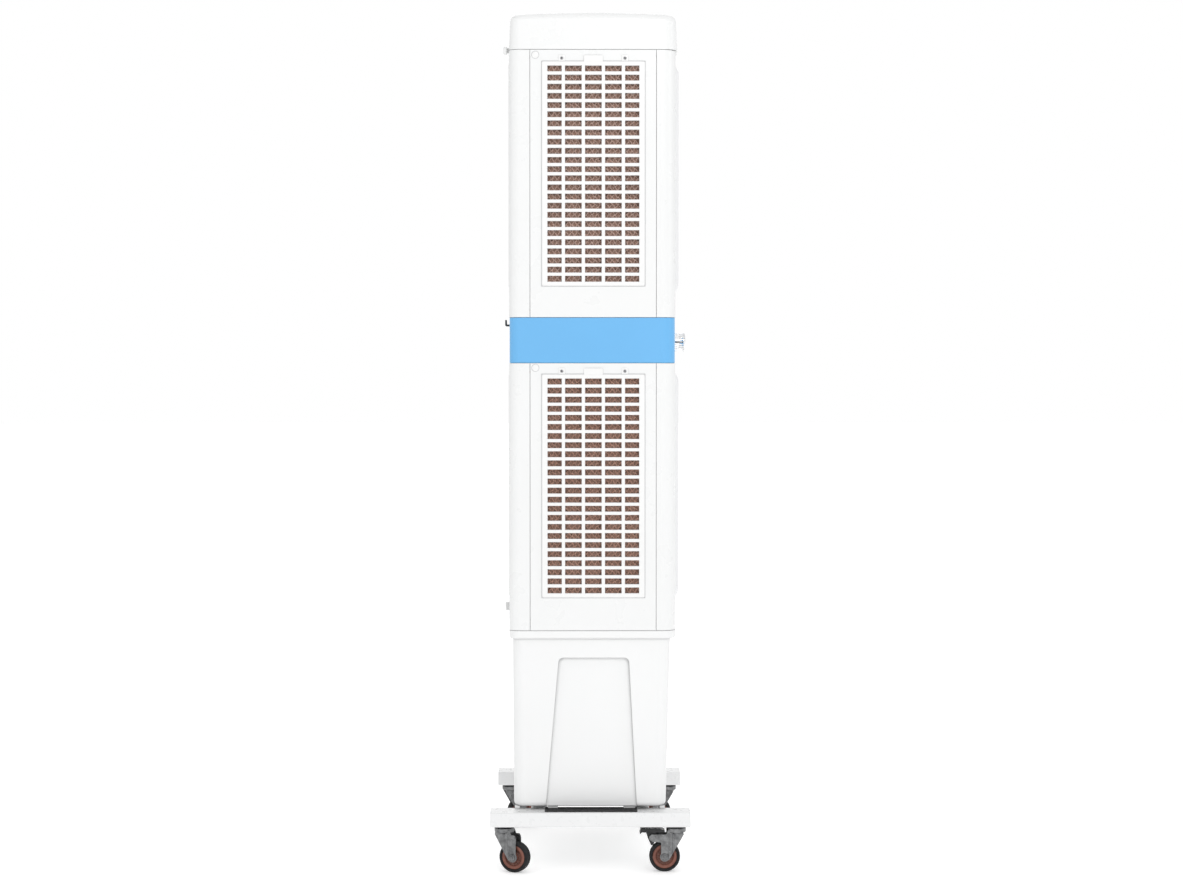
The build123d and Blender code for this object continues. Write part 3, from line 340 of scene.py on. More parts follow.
def cellulose(name, pale, deep, stain):
    """Resin-stiffened brown paper: fibres, damp patches and pale mineral bloom."""
    s = Shader(name, pale, 0.85)
    s.set("Specular IOR Level", 0.25)
    fibre = s.ramp(s.noise(520.0, 5.0, (1, 1, 0.25), 0.7), deep, pale, 0.3, 0.7)
    damp = s.ramp(s.noise(9.0, 4.0), 0.0, 0.4, 0.42, 0.72)
    stained = s.mix(damp, fibre, stain)
    bloom = s.ramp(s.noise(130.0, 6.0, (1, 1, 1), 0.75), 0.0, 0.45, 0.58, 0.8)
    s.colour(s.mix(bloom, stained, tuple(min(GREATEST_ALBEDO, c * 1.25) for c in pale)))
    s.rough(s.ramp(s.noise(40.0), 0.75, 0.95))
    s.bump(s.noise(900.0, 3.0), 0.0002, 0.7)
    return s.material


def chrome():
    """Polished plated plastic with faint fingerprints."""
    s = Shader("polished_chrome", (0.86, 0.87, 0.88), 0.08, 1.0)
    s.colour(s.ramp(s.noise(14.0), (0.82, 0.83, 0.85), (0.9, 0.905, 0.91)))
    s.rough(s.ramp(s.noise(35.0, 6.0, (1, 1, 1), 0.7), 0.05, 0.16))
    return s.material


def cast_metal():
    """Satin alloy and galvanised sheet, with a soft spangle."""
    s = Shader("galvanised_sheet", (0.5, 0.51, 0.52), 0.42, 0.85)
    s.soften(0.001)
    cells = s.node("ShaderNodeTexVoronoi", Scale=90.0)
    s.link(s.place(), cells.inputs["Vector"])
    s.colour(s.ramp(cells.outputs["Color"], (0.44, 0.45, 0.46), (0.58, 0.59, 0.6), 0.2, 0.8))
    s.rough(s.ramp(s.noise(80.0), 0.34, 0.52))
    s.bump(s.noise(500.0, 2.0), 0.00006, 0.5)
    return s.material


def screw_steel():
    """Small bright screw heads."""
    s = Shader("screw_steel", (0.42, 0.42, 0.43), 0.3, 1.0)
    s.colour(s.ramp(s.noise(400.0), (0.3, 0.3, 0.31), (0.52, 0.52, 0.53)))
    s.rough(s.ramp(s.noise(600.0), 0.22, 0.42))
    return s.material


WHITE = moulded("white_gloss", (0.79, 0.794, 0.792), 0.3)
CAP_WHITE = moulded("white_gloss_cap", (0.795, 0.799, 0.797), 0.26, soft=0.002)
TANK_WHITE = moulded("white_tank", (0.805, 0.808, 0.807), 0.36, grain=0.00008, soft=0.0025)
GRILLE_WHITE = moulded("white_grille", (0.81, 0.81, 0.805), 0.34, soft=0.0007, dust_and_crevice_shade=0.8)
OUTLET_WHITE = moulded("white_outlet", (0.77, 0.775, 0.78), 0.32, soft=0.001)
BLUE = moulded("sky_blue", (0.149, 0.443, 0.78), 0.2, soft=0.0015, tint=0.96)
DARK = moulded("dark_plastic", (0.03, 0.03, 0.033), 0.45, grain=0.00008, soft=0.001, tint=0.8)
FAN_GREY = moulded("fan_grey", (0.06, 0.065, 0.072), 0.4, grain=0.00006, soft=0.001, tint=0.85)
PIPE = moulded("pipe_grey", (0.55, 0.56, 0.57), 0.4, soft=0.001)
# painted shadow: a mid grey for thin strips and rings that stand in for shadow lines round the grilles and the
# screw covers
SHADOW_GREY = moulded("shadow_line_grey", (0.56, 0.565, 0.57), 0.6, soft=0.0003)
ENAMEL = powder_coat()
ZINC = zinc()
BLACK_STEEL = black_enamel()
HUB = hub_nylon()
TYRE = tyre_rubber()
PAPER = {
    "upper": cellulose("cellulose_upper", (0.83, 0.62, 0.54), (0.65, 0.45, 0.38), (0.55, 0.37, 0.3)),
    "lower": cellulose("cellulose_lower", (0.79, 0.51, 0.41), (0.58, 0.35, 0.27), (0.48, 0.27, 0.2)),
}
# painted shade: a darker copy of the pad paper for the solid backs, standing in for the shade deep in the flutes
PAPER_SHADED = cellulose("cellulose_painted_depth_shade", (0.5, 0.34, 0.28), (0.38, 0.25, 0.2), (0.3, 0.19, 0.15))
CHROME = chrome()
SHEET_METAL = cast_metal()
SCREW = screw_steel()


# ---------------------------------------------------------------- mesh building
WELD_DISTANCE = 1e-6
ON_AXIS = 1e-6


def piece(name, bm, material, body, smooth=40.0, replaced=()):
    """Turns a bmesh in metres into a named piece that rides on a body."""
    bmesh.ops.remove_doubles(bm, verts=bm.verts, dist=WELD_DISTANCE)
    bmesh.ops.recalc_face_normals(bm, faces=bm.faces)
    mesh = bpy.data.meshes.new(name)
    bm.to_mesh(mesh)
    bm.free()
    mesh.materials.append(material)
    mesh.shade_smooth()
    made = bpy.data.objects.new(name, mesh)
    bpy.context.scene.collection.objects.link(made)
    if smooth < 180.0:
        mesh.set_sharp_from_angle(angle=math.radians(smooth))
    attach(made, body)
    if replaced:
        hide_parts(*replaced)
    return made


def axis_frame(origin, direction):
    """A matrix whose Z axis runs along direction from origin, both in metres."""
    turn = Vector(direction).to_track_quat("Z", "Y").to_matrix().to_4x4()
    return Matrix.Translation(Vector(origin)) @ turn


def lathe(bm, profile, placed, segments=64):
    """Turns (radius, along) points in millimetres about the Z axis of a placed frame."""
    rings = []
    for radius, along in profile:
        if radius < ON_AXIS:
            rings.append([bm.verts.new(placed @ Vector((0, 0, along * MM)))])
            continue
        ring = []
        for i in range(segments):
            angle = 2 * math.pi * i / segments
            spot = Vector((radius * math.cos(angle), radius * math.sin(angle), along)) * MM
            ring.append(bm.verts.new(placed @ spot))
        rings.append(ring)
    for a, b in zip(rings, rings[1:]):
        for i in range(segments):
            j = (i + 1) % segments
            corners = [a[i % len(a)], a[j % len(a)], b[j % len(b)], b[i % len(b)]]
            unique = list(dict.fromkeys(corners))
            if len(unique) > 2:
                bm.faces.new(unique)


def prism(bm, outline, low, high, placed, bevel=0.0):
    """Carries an outline of (x, y) millimetres from one height to another, with eased edges."""
    fresh = bmesh.new()
    bottom = [fresh.verts.new(placed @ (Vector((x, y, low)) * MM)) for x, y in outline]
    top = [fresh.verts.new(placed @ (Vector((x, y, high)) * MM)) for x, y in outline]
    fresh.faces.new(bottom[::-1])
    fresh.faces.new(top)
    for i in range(len(outline)):
        j = (i + 1) % len(outline)
        fresh.faces.new([bottom[i], bottom[j], top[j], top[i]])
    if bevel:
        ease = {"offset": bevel * MM, "segments": 2, "affect": "EDGES", "profile": 0.6}
        bmesh.ops.bevel(fresh, geom=fresh.edges, **ease)
    mesh = bpy.data.meshes.new("prism")
    fresh.to_mesh(mesh)
    fresh.free()
    bm.from_mesh(mesh)
    bpy.data.meshes.remove(mesh)


def bar_outline(x0, x1, y0, y1):
    """The four corners of an upright rectangle, in millimetres."""
    return [(x0, y0), (x1, y0), (x1, y1), (x0, y1)]


def dress(names, material):
    """Gives CAD nodes a better material."""
    for name in names:
        slots = NODES[name].material_slots
        if not slots:
            NODES[name].data.materials.append(material)
        for slot in slots:
            slot.material = material


def starting(*prefixes):
    """The names of the CAD nodes that start with any of the prefixes."""
    return [name for name in NODES if name.startswith(prefixes)]


# ---------------------------------------------------------------- cooling pads
FLUTE_PITCH = 7.0
FLUTE_WAVE = 17.0
FLUTE_STEPS = 6
FLUTE_DEPTH = 4.5
SHEET_THICKNESS = 1.3
FLUTE_SLIP = 0.35
FLUTE_LEAN = 0.8
PAD_THICKNESS = 50.0
PAD_OVERLAP = 16.0
PAD_MARGIN = 4.0


def fluted_face(bm, width, height, placed):
    """The open face of a fluted pad: wavy paper sheets that touch at their crests.
    The frame's X runs across the pad, Y up it and Z out of it."""
    sheets = int(width / FLUTE_PITCH)
    stations = int(height / FLUTE_WAVE * FLUTE_STEPS)
    swing = FLUTE_PITCH / 2 - SHEET_THICKNESS / 2
    for sheet in range(sheets):
        middle = (sheet + 0.5) * FLUTE_PITCH - sheets * FLUTE_PITCH / 2
        lean = 1 if sheet % 2 else -1
        slip = random.uniform(-FLUTE_SLIP, FLUTE_SLIP)
        rows = []
        for station in range(stations + 1):
            up = station / stations * height - height / 2
            row = []
            for depth in (0.0, -FLUTE_DEPTH):
                phase = 2 * math.pi * (up + lean * depth * FLUTE_LEAN) / FLUTE_WAVE + slip
                across = middle + lean * swing * math.sin(phase)
                for side in (-0.5, 0.5):
                    spot = Vector((across + side * SHEET_THICKNESS, up, depth)) * MM
                    row.append(bm.verts.new(placed @ spot))
            rows.append(row)
        for a, b in zip(rows, rows[1:]):
            for i, j in ((0, 1), (2, 0), (1, 3)):
                bm.faces.new([a[i], a[j], b[j], b[i]])


def add_pads(module):
    """Three pads of one module: fluted faces over solid backs, the backs in a darker painted-shade copy of the
    paper.
    """
    node = "cooling_pads_" + module
    low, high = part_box(node)
    centre_z = (low.z + high.z) / 2
    height = high.z / MM - low.z / MM
    faces = bmesh.new()
    backs = bmesh.new()
    side_y = [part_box("side_grille_left_" + module)[i].y for i in (0, 1)]
    side_centre = sum(side_y) / 2
    side_width = (side_y[1] - side_y[0]) / MM + PAD_OVERLAP
    rear_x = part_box("rear_grille_" + module)[1].x
    rear_width = 2 * rear_x / MM + PAD_OVERLAP
    spots = []
    for sign in (-1, 1):
        turn = Matrix(((0, 0, sign), (sign, 0, 0), (0, 1, 0))).to_4x4()
        spots.append((side_width, Matrix.Translation((sign * high.x, side_centre, centre_z)) @ turn))
    turn = Matrix(((-1, 0, 0), (0, 0, 1), (0, 1, 0))).to_4x4()
    spots.append((rear_width, Matrix.Translation((0, high.y, centre_z)) @ turn))
    for width, placed in spots:
        fluted_face(faces, width - PAD_MARGIN, height - PAD_MARGIN, placed)
        outline = bar_outline(-width / 2, width / 2, -height / 2, height / 2)
        prism(backs, outline, -PAD_THICKNESS, -FLUTE_DEPTH, placed, 1.0)
    piece("pad_flutes_" + module, faces, PAPER[module], "cooler", 60, (node,))
    # painted shade: the backs take the darker shaded copy of the paper
    piece("pad_backs_" + module, backs, PAPER_SHADED, "cooler", 30, (node,))


# ---------------------------------------------------------------- fans
BLADES = 6
BLADE_RADIAL = 14
BLADE_CHORDWISE = 10
BLADE_ROOT = 44
BLADE_SPAN = 166
BLADE_CHORD = (78, 46)
BLADE_CHORD_ARC = 0.62
BLADE_PITCH = (46, 20)
BLADE_SWEEP = 16
BLADE_THICKNESS = (3.4, 1.4)
BLADE_CAMBER = 7.0
BLADE_EDGE = 0.12
TIP_START = 0.86
TIP_CUT = 0.16
MOTOR_FRONT = -0.014
MOTOR_FINS = 9
FIN_PITCH = 7.5


def fan_blade(bm, turned):
    """One cambered, twisted and swept blade, in millimetres about the fan's centre."""
    sheet = []
    for r in range(BLADE_RADIAL + 1):
        share = r / BLADE_RADIAL
        radius = BLADE_ROOT + share * BLADE_SPAN
        chord = BLADE_CHORD[0] + BLADE_CHORD[1] * math.sin(share * math.pi * BLADE_CHORD_ARC)
        pitch = math.radians(BLADE_PITCH[0] - BLADE_PITCH[1] * share)
        sweep = math.radians(BLADE_SWEEP) * share * share
        thickness = BLADE_THICKNESS[0] - BLADE_THICKNESS[1] * share
        row = []
        for c in range(BLADE_CHORDWISE + 1):
            along = c / BLADE_CHORDWISE - 0.5
            camber = BLADE_CAMBER * (1 - 4 * along * along)
            edge = math.sqrt(max(0.0, 1 - (2 * along) ** 6))
            if share > TIP_START:
                cut = (share - TIP_START) / (1 - TIP_START)
                along *= 1 - TIP_CUT * cut * cut
            for side in (-1, 1):
                flat = along * chord
                lift = camber + side * thickness * 0.5 * max(edge, BLADE_EDGE)
                tangent = flat * math.cos(pitch) - lift * math.sin(pitch)
                axial = flat * math.sin(pitch) + lift * math.cos(pitch)
                angle = tangent / radius + sweep
                spot = Vector((radius * math.sin(angle), axial, radius * math.cos(angle)))
                row.append(bm.verts.new(turned @ (spot * MM)))
        sheet.append(row)
    for a, b in zip(sheet, sheet[1:]):
        for c in range(BLADE_CHORDWISE):
            i = 2 * c
            bm.faces.new([a[i], a[i + 2], b[i + 2], b[i]])
            bm.faces.new([a[i + 1], b[i + 1], b[i + 3], a[i + 3]])
        bm.faces.new([a[0], b[0], b[1], a[1]])
        bm.faces.new([a[-2], a[-1], b[-1], b[-2]])
    for row in (sheet[0], sheet[-1]):
        for c in range(BLADE_CHORDWISE):
            i = 2 * c
            bm.faces.new([row[i], row[i + 1], row[i + 3], row[i + 2]])


def add_fan(module):
    """The impeller: domed hub with ribs, and moulded blades."""
    node = "fan_" + module
    pivot = Vector(JOINTS["fan_spin_" + module]["pos_m"])
    bm = bmesh.new()
    for i in range(BLADES):
        turned = Matrix.Translation(pivot) @ Matrix.Rotation(2 * math.pi * i / BLADES, 4, "Y")
        fan_blade(bm, turned)
    placed = axis_frame(pivot, (0, -1, 0))
    hub = [
        (0, 28), (12, 27.6), (30, 26), (42, 21), (47, 14),
        (48, 6), (48, -28), (44, -28), (44, -20), (0, -20),
    ]
    lathe(bm, hub, placed, 72)
    shaft = [(0, -20), (8, -20), (8, -76), (7, -77), (0, -77)]
    lathe(bm, shaft, placed, 32)
    for i in range(BLADES):
        turn = placed @ Matrix.Rotation(2 * math.pi * (i + 0.5) / BLADES, 4, "Z")
        prism(bm, bar_outline(14, 36, -1.4, 1.4), 22, 28.5, turn, 0.6)
    bolt = [(0, 33), (5, 33), (6.5, 31.5), (6.5, 26), (0, 26)]
    lathe(bm, bolt, placed, 6)
    piece("impeller_" + module, bm, FAN_GREY, "impeller_" + module, 35, (node,))


def add_motor_fins(module):
    """Cooling fins and a terminal box round each motor can."""
    pivot = Vector(JOINTS["fan_spin_" + module]["pos_m"])
    placed = axis_frame((pivot.x, MOTOR_FRONT, pivot.z), (0, 1, 0))
    profile = [(56.2, 6)]
    for i in range(MOTOR_FINS):
        along = 8 + i * FIN_PITCH
        profile += [(56.6, along), (61, along + 0.6), (61, along + 2.4), (56.6, along + 3.0)]
    profile += [(56.2, 78)]
    bm = bmesh.new()
    lathe(bm, profile, placed, 72)
    box_at = placed @ Matrix.Translation(Vector((0, 70, 38)) * MM)
    prism(bm, bar_outline(-22, 22, -12, 12), -24, 24, box_at, 2.5)
    piece("motor_fins_" + module, bm, SHEET_METAL, "cooler", 35)


# ---------------------------------------------------------------- casters
HUB_RIBS = 12
GRIP_BARS = 4
GRIP_PITCH = 6


def both_sides(half):
    """A half section of (radius, along) points followed by its mirror image."""
    return half + [(r, -z) for r, z in reversed(half)]


def caster_frame(name):
    """The wheel's placed frame: Z along its axle, Y up and X along the trail."""
    joint = JOINTS["wheel_roll_" + name]
    axle = Vector(joint["axis"]).normalized()
    up = Vector((0, 0, 1))
    trail = up.cross(axle)
    turn = Matrix((trail, up, axle)).transposed().to_4x4()
    return Matrix.Translation(Vector(joint["pos_m"])) @ turn


def add_wheel(name):
    """A moulded wheel centre with its ribs, and a tyre with rounded shoulders."""
    placed = caster_frame(name)
    hub = bmesh.new()
    half = [
        (4.2, 13.2), (7.4, 13.5), (8.0, 13.1), (11.6, 13.1), (12.2, 12.6), (13.2, 8.6), (14.2, 7.9),
        (19.2, 7.7), (20.3, 8.4), (21.6, 10.9), (22.6, 11.5),
        (27.4, 11.6), (28.6, 11.2), (29.4, 10.2), (30.0, 9.6),
    ]
    lathe(hub, [(4.2, 0.0)] + both_sides(half) + [(4.2, 0.0)], placed, 96)
    for i in range(HUB_RIBS):
        for side in (-1, 1):
            turn = placed @ Matrix.Rotation(2 * math.pi * i / HUB_RIBS, 4, "Z")
            low, high = sorted((side * 6.5, side * 9.6))
            prism(hub, bar_outline(13.0, 21.2, -0.8, 0.8), low, high, turn, 0.3)
    body = "wheel_" + name
    piece("wheel_centre_" + name, hub, HUB, body, 35, ("caster_hub_" + name,))
    tyre = bmesh.new()
    half = [
        (30.2, 11.4), (32.0, 12.2), (33.6, 12.45), (35.4, 12.0), (36.7, 10.6),
        (37.3, 8.4), (37.5, 5.0), (37.5, 1.6), (36.9, 1.1),
    ]
    lathe(tyre, [(30.2, 0)] + both_sides(half) + [(30.2, 0)], placed, 128)
    piece("tyre_" + name, tyre, TYRE, body, 50, ("caster_tyre_" + name,))


def add_caster_trim(name):
    """The ball race under the rail, black as painted shade, and the washers and bolt ends on the axle."""
    joint = JOINTS["swivel_turn_" + name]
    at = Vector(joint["pos_m"])
    placed = axis_frame((at.x, at.y, 0), (0, 0, 1))
    race = bmesh.new()
    ring = [(17, 109.3), (22.9, 109.3), (23.6, 110.0), (23.6, 110.9), (22.9, 111.6), (17, 111.6)]
    lathe(race, ring, placed, 64)
    # painted shade: black enamel on the race stands in for the shadow under the rail
    piece("ball_race_" + name, race, BLACK_STEEL, "cooler", 35)
    washers = bmesh.new()
    washer = [(4.0, 17.7), (8.4, 17.7), (8.8, 18.1), (8.8, 18.6), (8.2, 19.1), (4.0, 19.1)]
    bolt_end = [(0, 24.6), (2.6, 24.5), (3.6, 23.8), (3.9, 22.6), (3.9, 21)]
    wheel = caster_frame(name)
    for side in (-1, 1):
        faced = wheel @ Matrix.Diagonal((1, 1, side, 1))
        lathe(washers, washer, faced, 48)
        lathe(washers, bolt_end, faced, 32)
    piece("axle_washers_" + name, washers, ZINC, "swivel_" + name, 35)


def add_pedal_grips(name):
    """Raised grip bars across the brake pedal's tread."""
    joint = JOINTS["brake_press_" + name]
    pivot = Vector(joint["pos_m"])
    side = -Vector(joint["axis"]).normalized()
    up = Vector((0, 0, 1))
    trail = up.cross(side)
    turn = Matrix((side, trail, up)).transposed().to_4x4()
    placed = Matrix.Translation(pivot) @ turn
    bm = bmesh.new()
    for i in range(GRIP_BARS):
        along = 5 + i * GRIP_PITCH
        prism(bm, bar_outline(-13, 13, along, along + 2.4), 23.2, 24.4, placed, 0.4)
    piece("pedal_grips_" + name, bm, DARK, "pedal_" + name, 35)


# ---------------------------------------------------------------- knob and dial
KNOB_FLUTES = 24
KNOB_GRIPS = 12
DIAL_TICKS = 10
TICK_STEP = 30
DIGIT_STEP = 90
DIGIT_RING = 40
DIGIT_SIZE = 9
DIGIT_RAISED = 0.25


def add_knob():
    """The chrome selector knob, its dark pointer and grips, and the dial behind it."""
    low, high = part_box("control_knob")
    centre = Vector(((low.x + high.x) / 2, 0, (low.z + high.z) / 2))
    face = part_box("control_band")[0].y
    placed = axis_frame((centre.x, face, centre.z), (0, -1, 0))
    r = (high.x - low.x) / 2 / MM
    tip = (face - low.y) / MM
    bm = bmesh.new()
    profile = [
        (0, tip - 1.4), (r - 7.5, tip - 1.4), (r - 5.5, tip - 1.1),
        (r - 4.4, tip - 0.3), (r - 3.4, tip),
        (r - 1.8, tip - 0.4), (r - 0.6, tip - 1.6), (r - 0.1, tip - 3.2), (r - 0.05, tip - 5.0),
        (r - 0.7, tip - 6.0), (r - 0.7, 8.0), (r - 0.1, 7.0), (r, 5.8), (r, 2.2), (r - 0.6, 1.0),
        (r - 2.0, 0.7), (0, 0.7),
    ]
    lathe(bm, profile, placed, 96)
    for i in range(KNOB_FLUTES):
        turn = placed @ Matrix.Rotation(2 * math.pi * i / KNOB_FLUTES, 4, "Z")
        outline = [(r - 1.6, -1.2), (r - 0.1, -0.8), (r - 0.1, 0.8), (r - 1.6, 1.2)]
        prism(bm, outline, 8.6, tip - 6.6, turn, 0.35)
    piece("selector_knob", bm, CHROME, "knob", 40, ("control_knob",))
    mark = bmesh.new()
    prism(mark, bar_outline(0.15 - r, 3 - r, -3, 3), 2.6, tip - 5.4, placed, 0.3)
    for i in range(KNOB_GRIPS):
        turn = placed @ Matrix.Rotation(2 * math.pi * (i + 0.5) / KNOB_GRIPS, 4, "Z")
        grip = [(r - 1.5, -3.6), (r - 0.25, -3.4), (r - 0.25, 3.4), (r - 1.5, 3.6)]
        prism(mark, grip, tip - 4.4, tip - 2.4, turn, 0.2)
    prism(mark, bar_outline(-17.5, -3, -1.3, 1.3), tip - 2.0, tip - 1.1, placed, 0.25)
    piece("knob_pointer", mark, DARK, "knob", 35)
    dial = bmesh.new()
    for i in range(DIAL_TICKS):
        angle = math.radians(180 - i * TICK_STEP)
        turn = placed @ Matrix.Rotation(angle, 4, "Z")
        long = 34.0 if i % 3 == 0 else 31.5
        prism(dial, bar_outline(27.5, long, -0.5, 0.5), -0.1, 0.35, turn)
    piece("dial_ticks", dial, DARK, "cooler", 30)
    for i, digit in enumerate("0123"):
        angle = math.radians(180 - i * DIGIT_STEP)
        across = DIGIT_RING * math.cos(angle)
        up = DIGIT_RING * math.sin(angle)
        spot = placed @ (Vector((across, up, 0.3)) * MM)
        add_digit("dial_digit_" + digit, digit, spot)


def add_digit(name, digit, spot):
    """One raised numeral on the dial, facing the front."""
    curve = bpy.data.curves.new(name, "FONT")
    curve.body = digit
    curve.size = DIGIT_SIZE * MM
    curve.extrude = DIGIT_RAISED * MM
    curve.align_x = "CENTER"
    curve.align_y = "CENTER"
    curve.materials.append(DARK)
    made = bpy.data.objects.new(name, curve)
    bpy.context.scene.collection.objects.link(made)
    made.location = spot
    made.rotation_euler = (math.pi / 2, 0, 0)
    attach(made, "cooler")


# ---------------------------------------------------------------- small fittings
HOOK_X = -0.120
HOOK_LOW = 1.3295
BUTTON_X = -0.272
BUTTON_Z = 1.996
GROMMET_X = 0.180
GROMMET_Z = 1.262
TAB_HEIGHT = 0.0145
SCREW_LIFT = 0.0075
SIDE_SCREW_OFFSET = 0.0765
REAR_SCREW_OFFSET = 0.18
COVER_OFFSET = 0.1405
COVER_LIFT = 0.008
SHADOW_LINE_WIDTH = 1.4
SHADOW_LINE_RISE = 0.5
WALL_SINK = -0.4
CROSS_ANGLE = 0.4
THREAD_RIDGES = 5
THREAD_PITCH = 1.9


def wall_frame(origin, wall):
    """Z out of a wall, Y up it and X along it; the wall is left, right or rear."""
    across = {"left": (0, -1, 0), "right": (0, 1, 0), "rear": (-1, 0, 0)}[wall]
    out = {"left": (-1, 0, 0), "right": (1, 0, 0), "rear": (0, 1, 0)}[wall]
    turn = Matrix((across, (0, 0, 1), out)).transposed().to_4x4()
    return Matrix.Translation(Vector(origin)) @ turn


def hoop(bm, half_width, low, high, width, placed, rise):
    """Four thin strips round a rectangle, in millimetres."""
    outer = half_width + width
    bars = [
        ((-outer, outer), (low - width, low)),
        ((-outer, outer), (high, high + width)),
        ((-outer, -half_width), (low, high)),
        ((half_width, outer), (low, high)),
    ]
    for (x0, x1), (y0, y1) in bars:
        prism(bm, bar_outline(x0, x1, y0, y1), WALL_SINK, rise, placed)


def add_grille_shadow_lines():
    """Grey strips round each grille as painted shadow lines, and the raised pad under each grille screw."""
    shadow_lines = bmesh.new()
    pads = bmesh.new()
    square = [(-8, -7), (8, -7), (8, 6), (6, 8), (-6, 8), (-8, 6)]
    for module in ("lower", "upper"):
        for wall in ("left", "right", "rear"):
            name = "rear_grille_" + module if wall == "rear" else f"side_grille_{wall}_{module}"
            low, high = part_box(name)
            panel = "rear_panel_" + module if wall == "rear" else f"side_panel_{wall}_{module}"
            panel_low, panel_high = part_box(panel)
            top = high.z - TAB_HEIGHT
            middle = (low + high) / 2
            if wall == "rear":
                origin = (middle.x, panel_high.y, low.z)
                half = (high.x - low.x) / 2 / MM
                offset = REAR_SCREW_OFFSET
            else:
                origin = (panel_low.x if wall == "left" else panel_high.x, middle.y, low.z)
                half = (high.y - low.y) / 2 / MM
                offset = SIDE_SCREW_OFFSET
            placed = wall_frame(origin, wall)
            height = top - low.z
            hoop(shadow_lines, half, 0, height / MM, SHADOW_LINE_WIDTH, placed, SHADOW_LINE_RISE)
            for side in (-1, 1):
                spot = placed @ Matrix.Translation((side * offset, height + SCREW_LIFT, 0))
                prism(pads, square, WALL_SINK, 1.0, spot, 0.3)
    # painted shadow lines: the grey strips round each grille
    piece("grille_shadow_lines", shadow_lines, SHADOW_GREY, "cooler", 30)
    piece("screw_pads", pads, GRILLE_WHITE, "cooler", 30)


def add_screws():
    """Pan-head screws over each grille with dark crosses as painted shade for their recesses, and round covers on
    the side panels ringed in painted shadow grey.
    """
    heads = bmesh.new()
    slots = bmesh.new()
    covers = bmesh.new()
    rings = bmesh.new()
    pan = [(0, 3.1), (1.8, 3.0), (3.1, 2.4), (3.8, 1.5), (4.0, 0.9), (4.0, -1), (0, -1)]
    shadow_ring = [(8.3, -0.4), (9.4, -0.4), (9.4, 0.35), (8.3, 0.35), (8.3, -0.4)]
    cover = [(0, 1.25), (6.2, 1.2), (7.6, 0.9), (8.4, 0.2), (8.5, -0.6), (0, -0.6)]
    for module in ("lower", "upper"):
        low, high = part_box("side_grille_left_" + module)
        z = high.z - TAB_HEIGHT + SCREW_LIFT
        middle = (low.y + high.y) / 2
        wall_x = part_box("side_panel_left_" + module)[0].x
        wall_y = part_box("rear_panel_" + module)[1].y
        for sign in (-1, 1):
            normal = (sign, 0, 0)
            for offset in (-SIDE_SCREW_OFFSET, SIDE_SCREW_OFFSET):
                spot = axis_frame((-sign * wall_x, middle + offset, z), normal)
                lathe(heads, pan, spot, 40)
                cross(slots, spot)
            spot = axis_frame((-sign * wall_x, middle + COVER_OFFSET, z + COVER_LIFT), normal)
            lathe(covers, cover, spot, 48)
            lathe(rings, shadow_ring, spot, 48)
        for x in (-REAR_SCREW_OFFSET, REAR_SCREW_OFFSET):
            spot = axis_frame((x, wall_y, z), (0, 1, 0))
            lathe(heads, pan, spot, 40)
            cross(slots, spot)
    piece("grille_screws", heads, SCREW, "cooler", 35, ("panel_screws",))
    # painted shade: dark crosses stand in for the shade in the screw recesses
    piece("screw_slot_shade", slots, DARK, "cooler", 35)
    piece("screw_covers", covers, GRILLE_WHITE, "cooler", 35)
    # painted shadow: grey rings round the covers
    piece("cover_shadow_rings", rings, SHADOW_GREY, "cooler", 35)


def cross(bm, spot):
    """The cross of a screw head: a dark block set into the head as painted shade for the recess."""
    for angle in (CROSS_ANGLE, CROSS_ANGLE + math.pi / 2):
        turn = spot @ Matrix.Rotation(angle, 4, "Z")
        prism(bm, bar_outline(-2.5, 2.5, -0.6, 0.6), 2.0, 3.15, turn, 0.1)


def add_rear_fittings():
    """The cord hook, the lid button and the cable grommet."""
    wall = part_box("rear_panel_upper")[1].y
    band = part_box("control_band")[1].y
    hook = bmesh.new()
    outline = [
        (0, 17), (0, 0.8), (0.8, 0), (12.2, 0), (14.6, 1.2), (15.5, 3.6), (15.5, 15.2), (14.8, 16),
        (12.2, 16), (11.5, 15.2), (11.5, 5.2), (10.4, 4.2), (5, 4.2), (4, 5.2), (4, 16.2), (3.2, 17),
    ]
    turn = Matrix(((0, 0, 1), (1, 0, 0), (0, 1, 0))).to_4x4()
    prism(hook, outline, -9, 9, Matrix.Translation((HOOK_X, band, HOOK_LOW)) @ turn, 0.5)
    piece("cord_hook", hook, DARK, "cooler", 35, ("rear_fittings",))
    button = bmesh.new()
    button_place = axis_frame((BUTTON_X, wall, BUTTON_Z), (0, 1, 0))
    profile = [
        (0, 12.6), (2.2, 12.6), (2.6, 14), (6.6, 14), (8.6, 13.2), (9.5, 11.4),
        (9.5, 6.6), (8.8, 5.4), (6, 5), (6, 0), (0, 0),
    ]
    lathe(button, profile, button_place, 64)
    piece("lid_button", button, WHITE, "cooler", 35)
    dot = bmesh.new()
    lathe(dot, [(0, 12.9), (1.9, 12.9), (2.2, 12.5), (0, 12.5)], button_place, 32)
    piece("button_dot", dot, DARK, "cooler", 35)
    grommet = bmesh.new()
    profile = [
        (4.6, -3), (4.6, 1.2), (5.2, 2.4), (9.6, 2.6), (11.6, 2.0),
        (12, 0.8), (12, 0), (7.9, 0), (7.9, -3), (4.6, -3),
    ]
    lathe(grommet, profile, axis_frame((GROMMET_X, band, GROMMET_Z), (0, 1, 0)), 56)
    piece("cable_grommet", grommet, DARK, "cooler", 35)


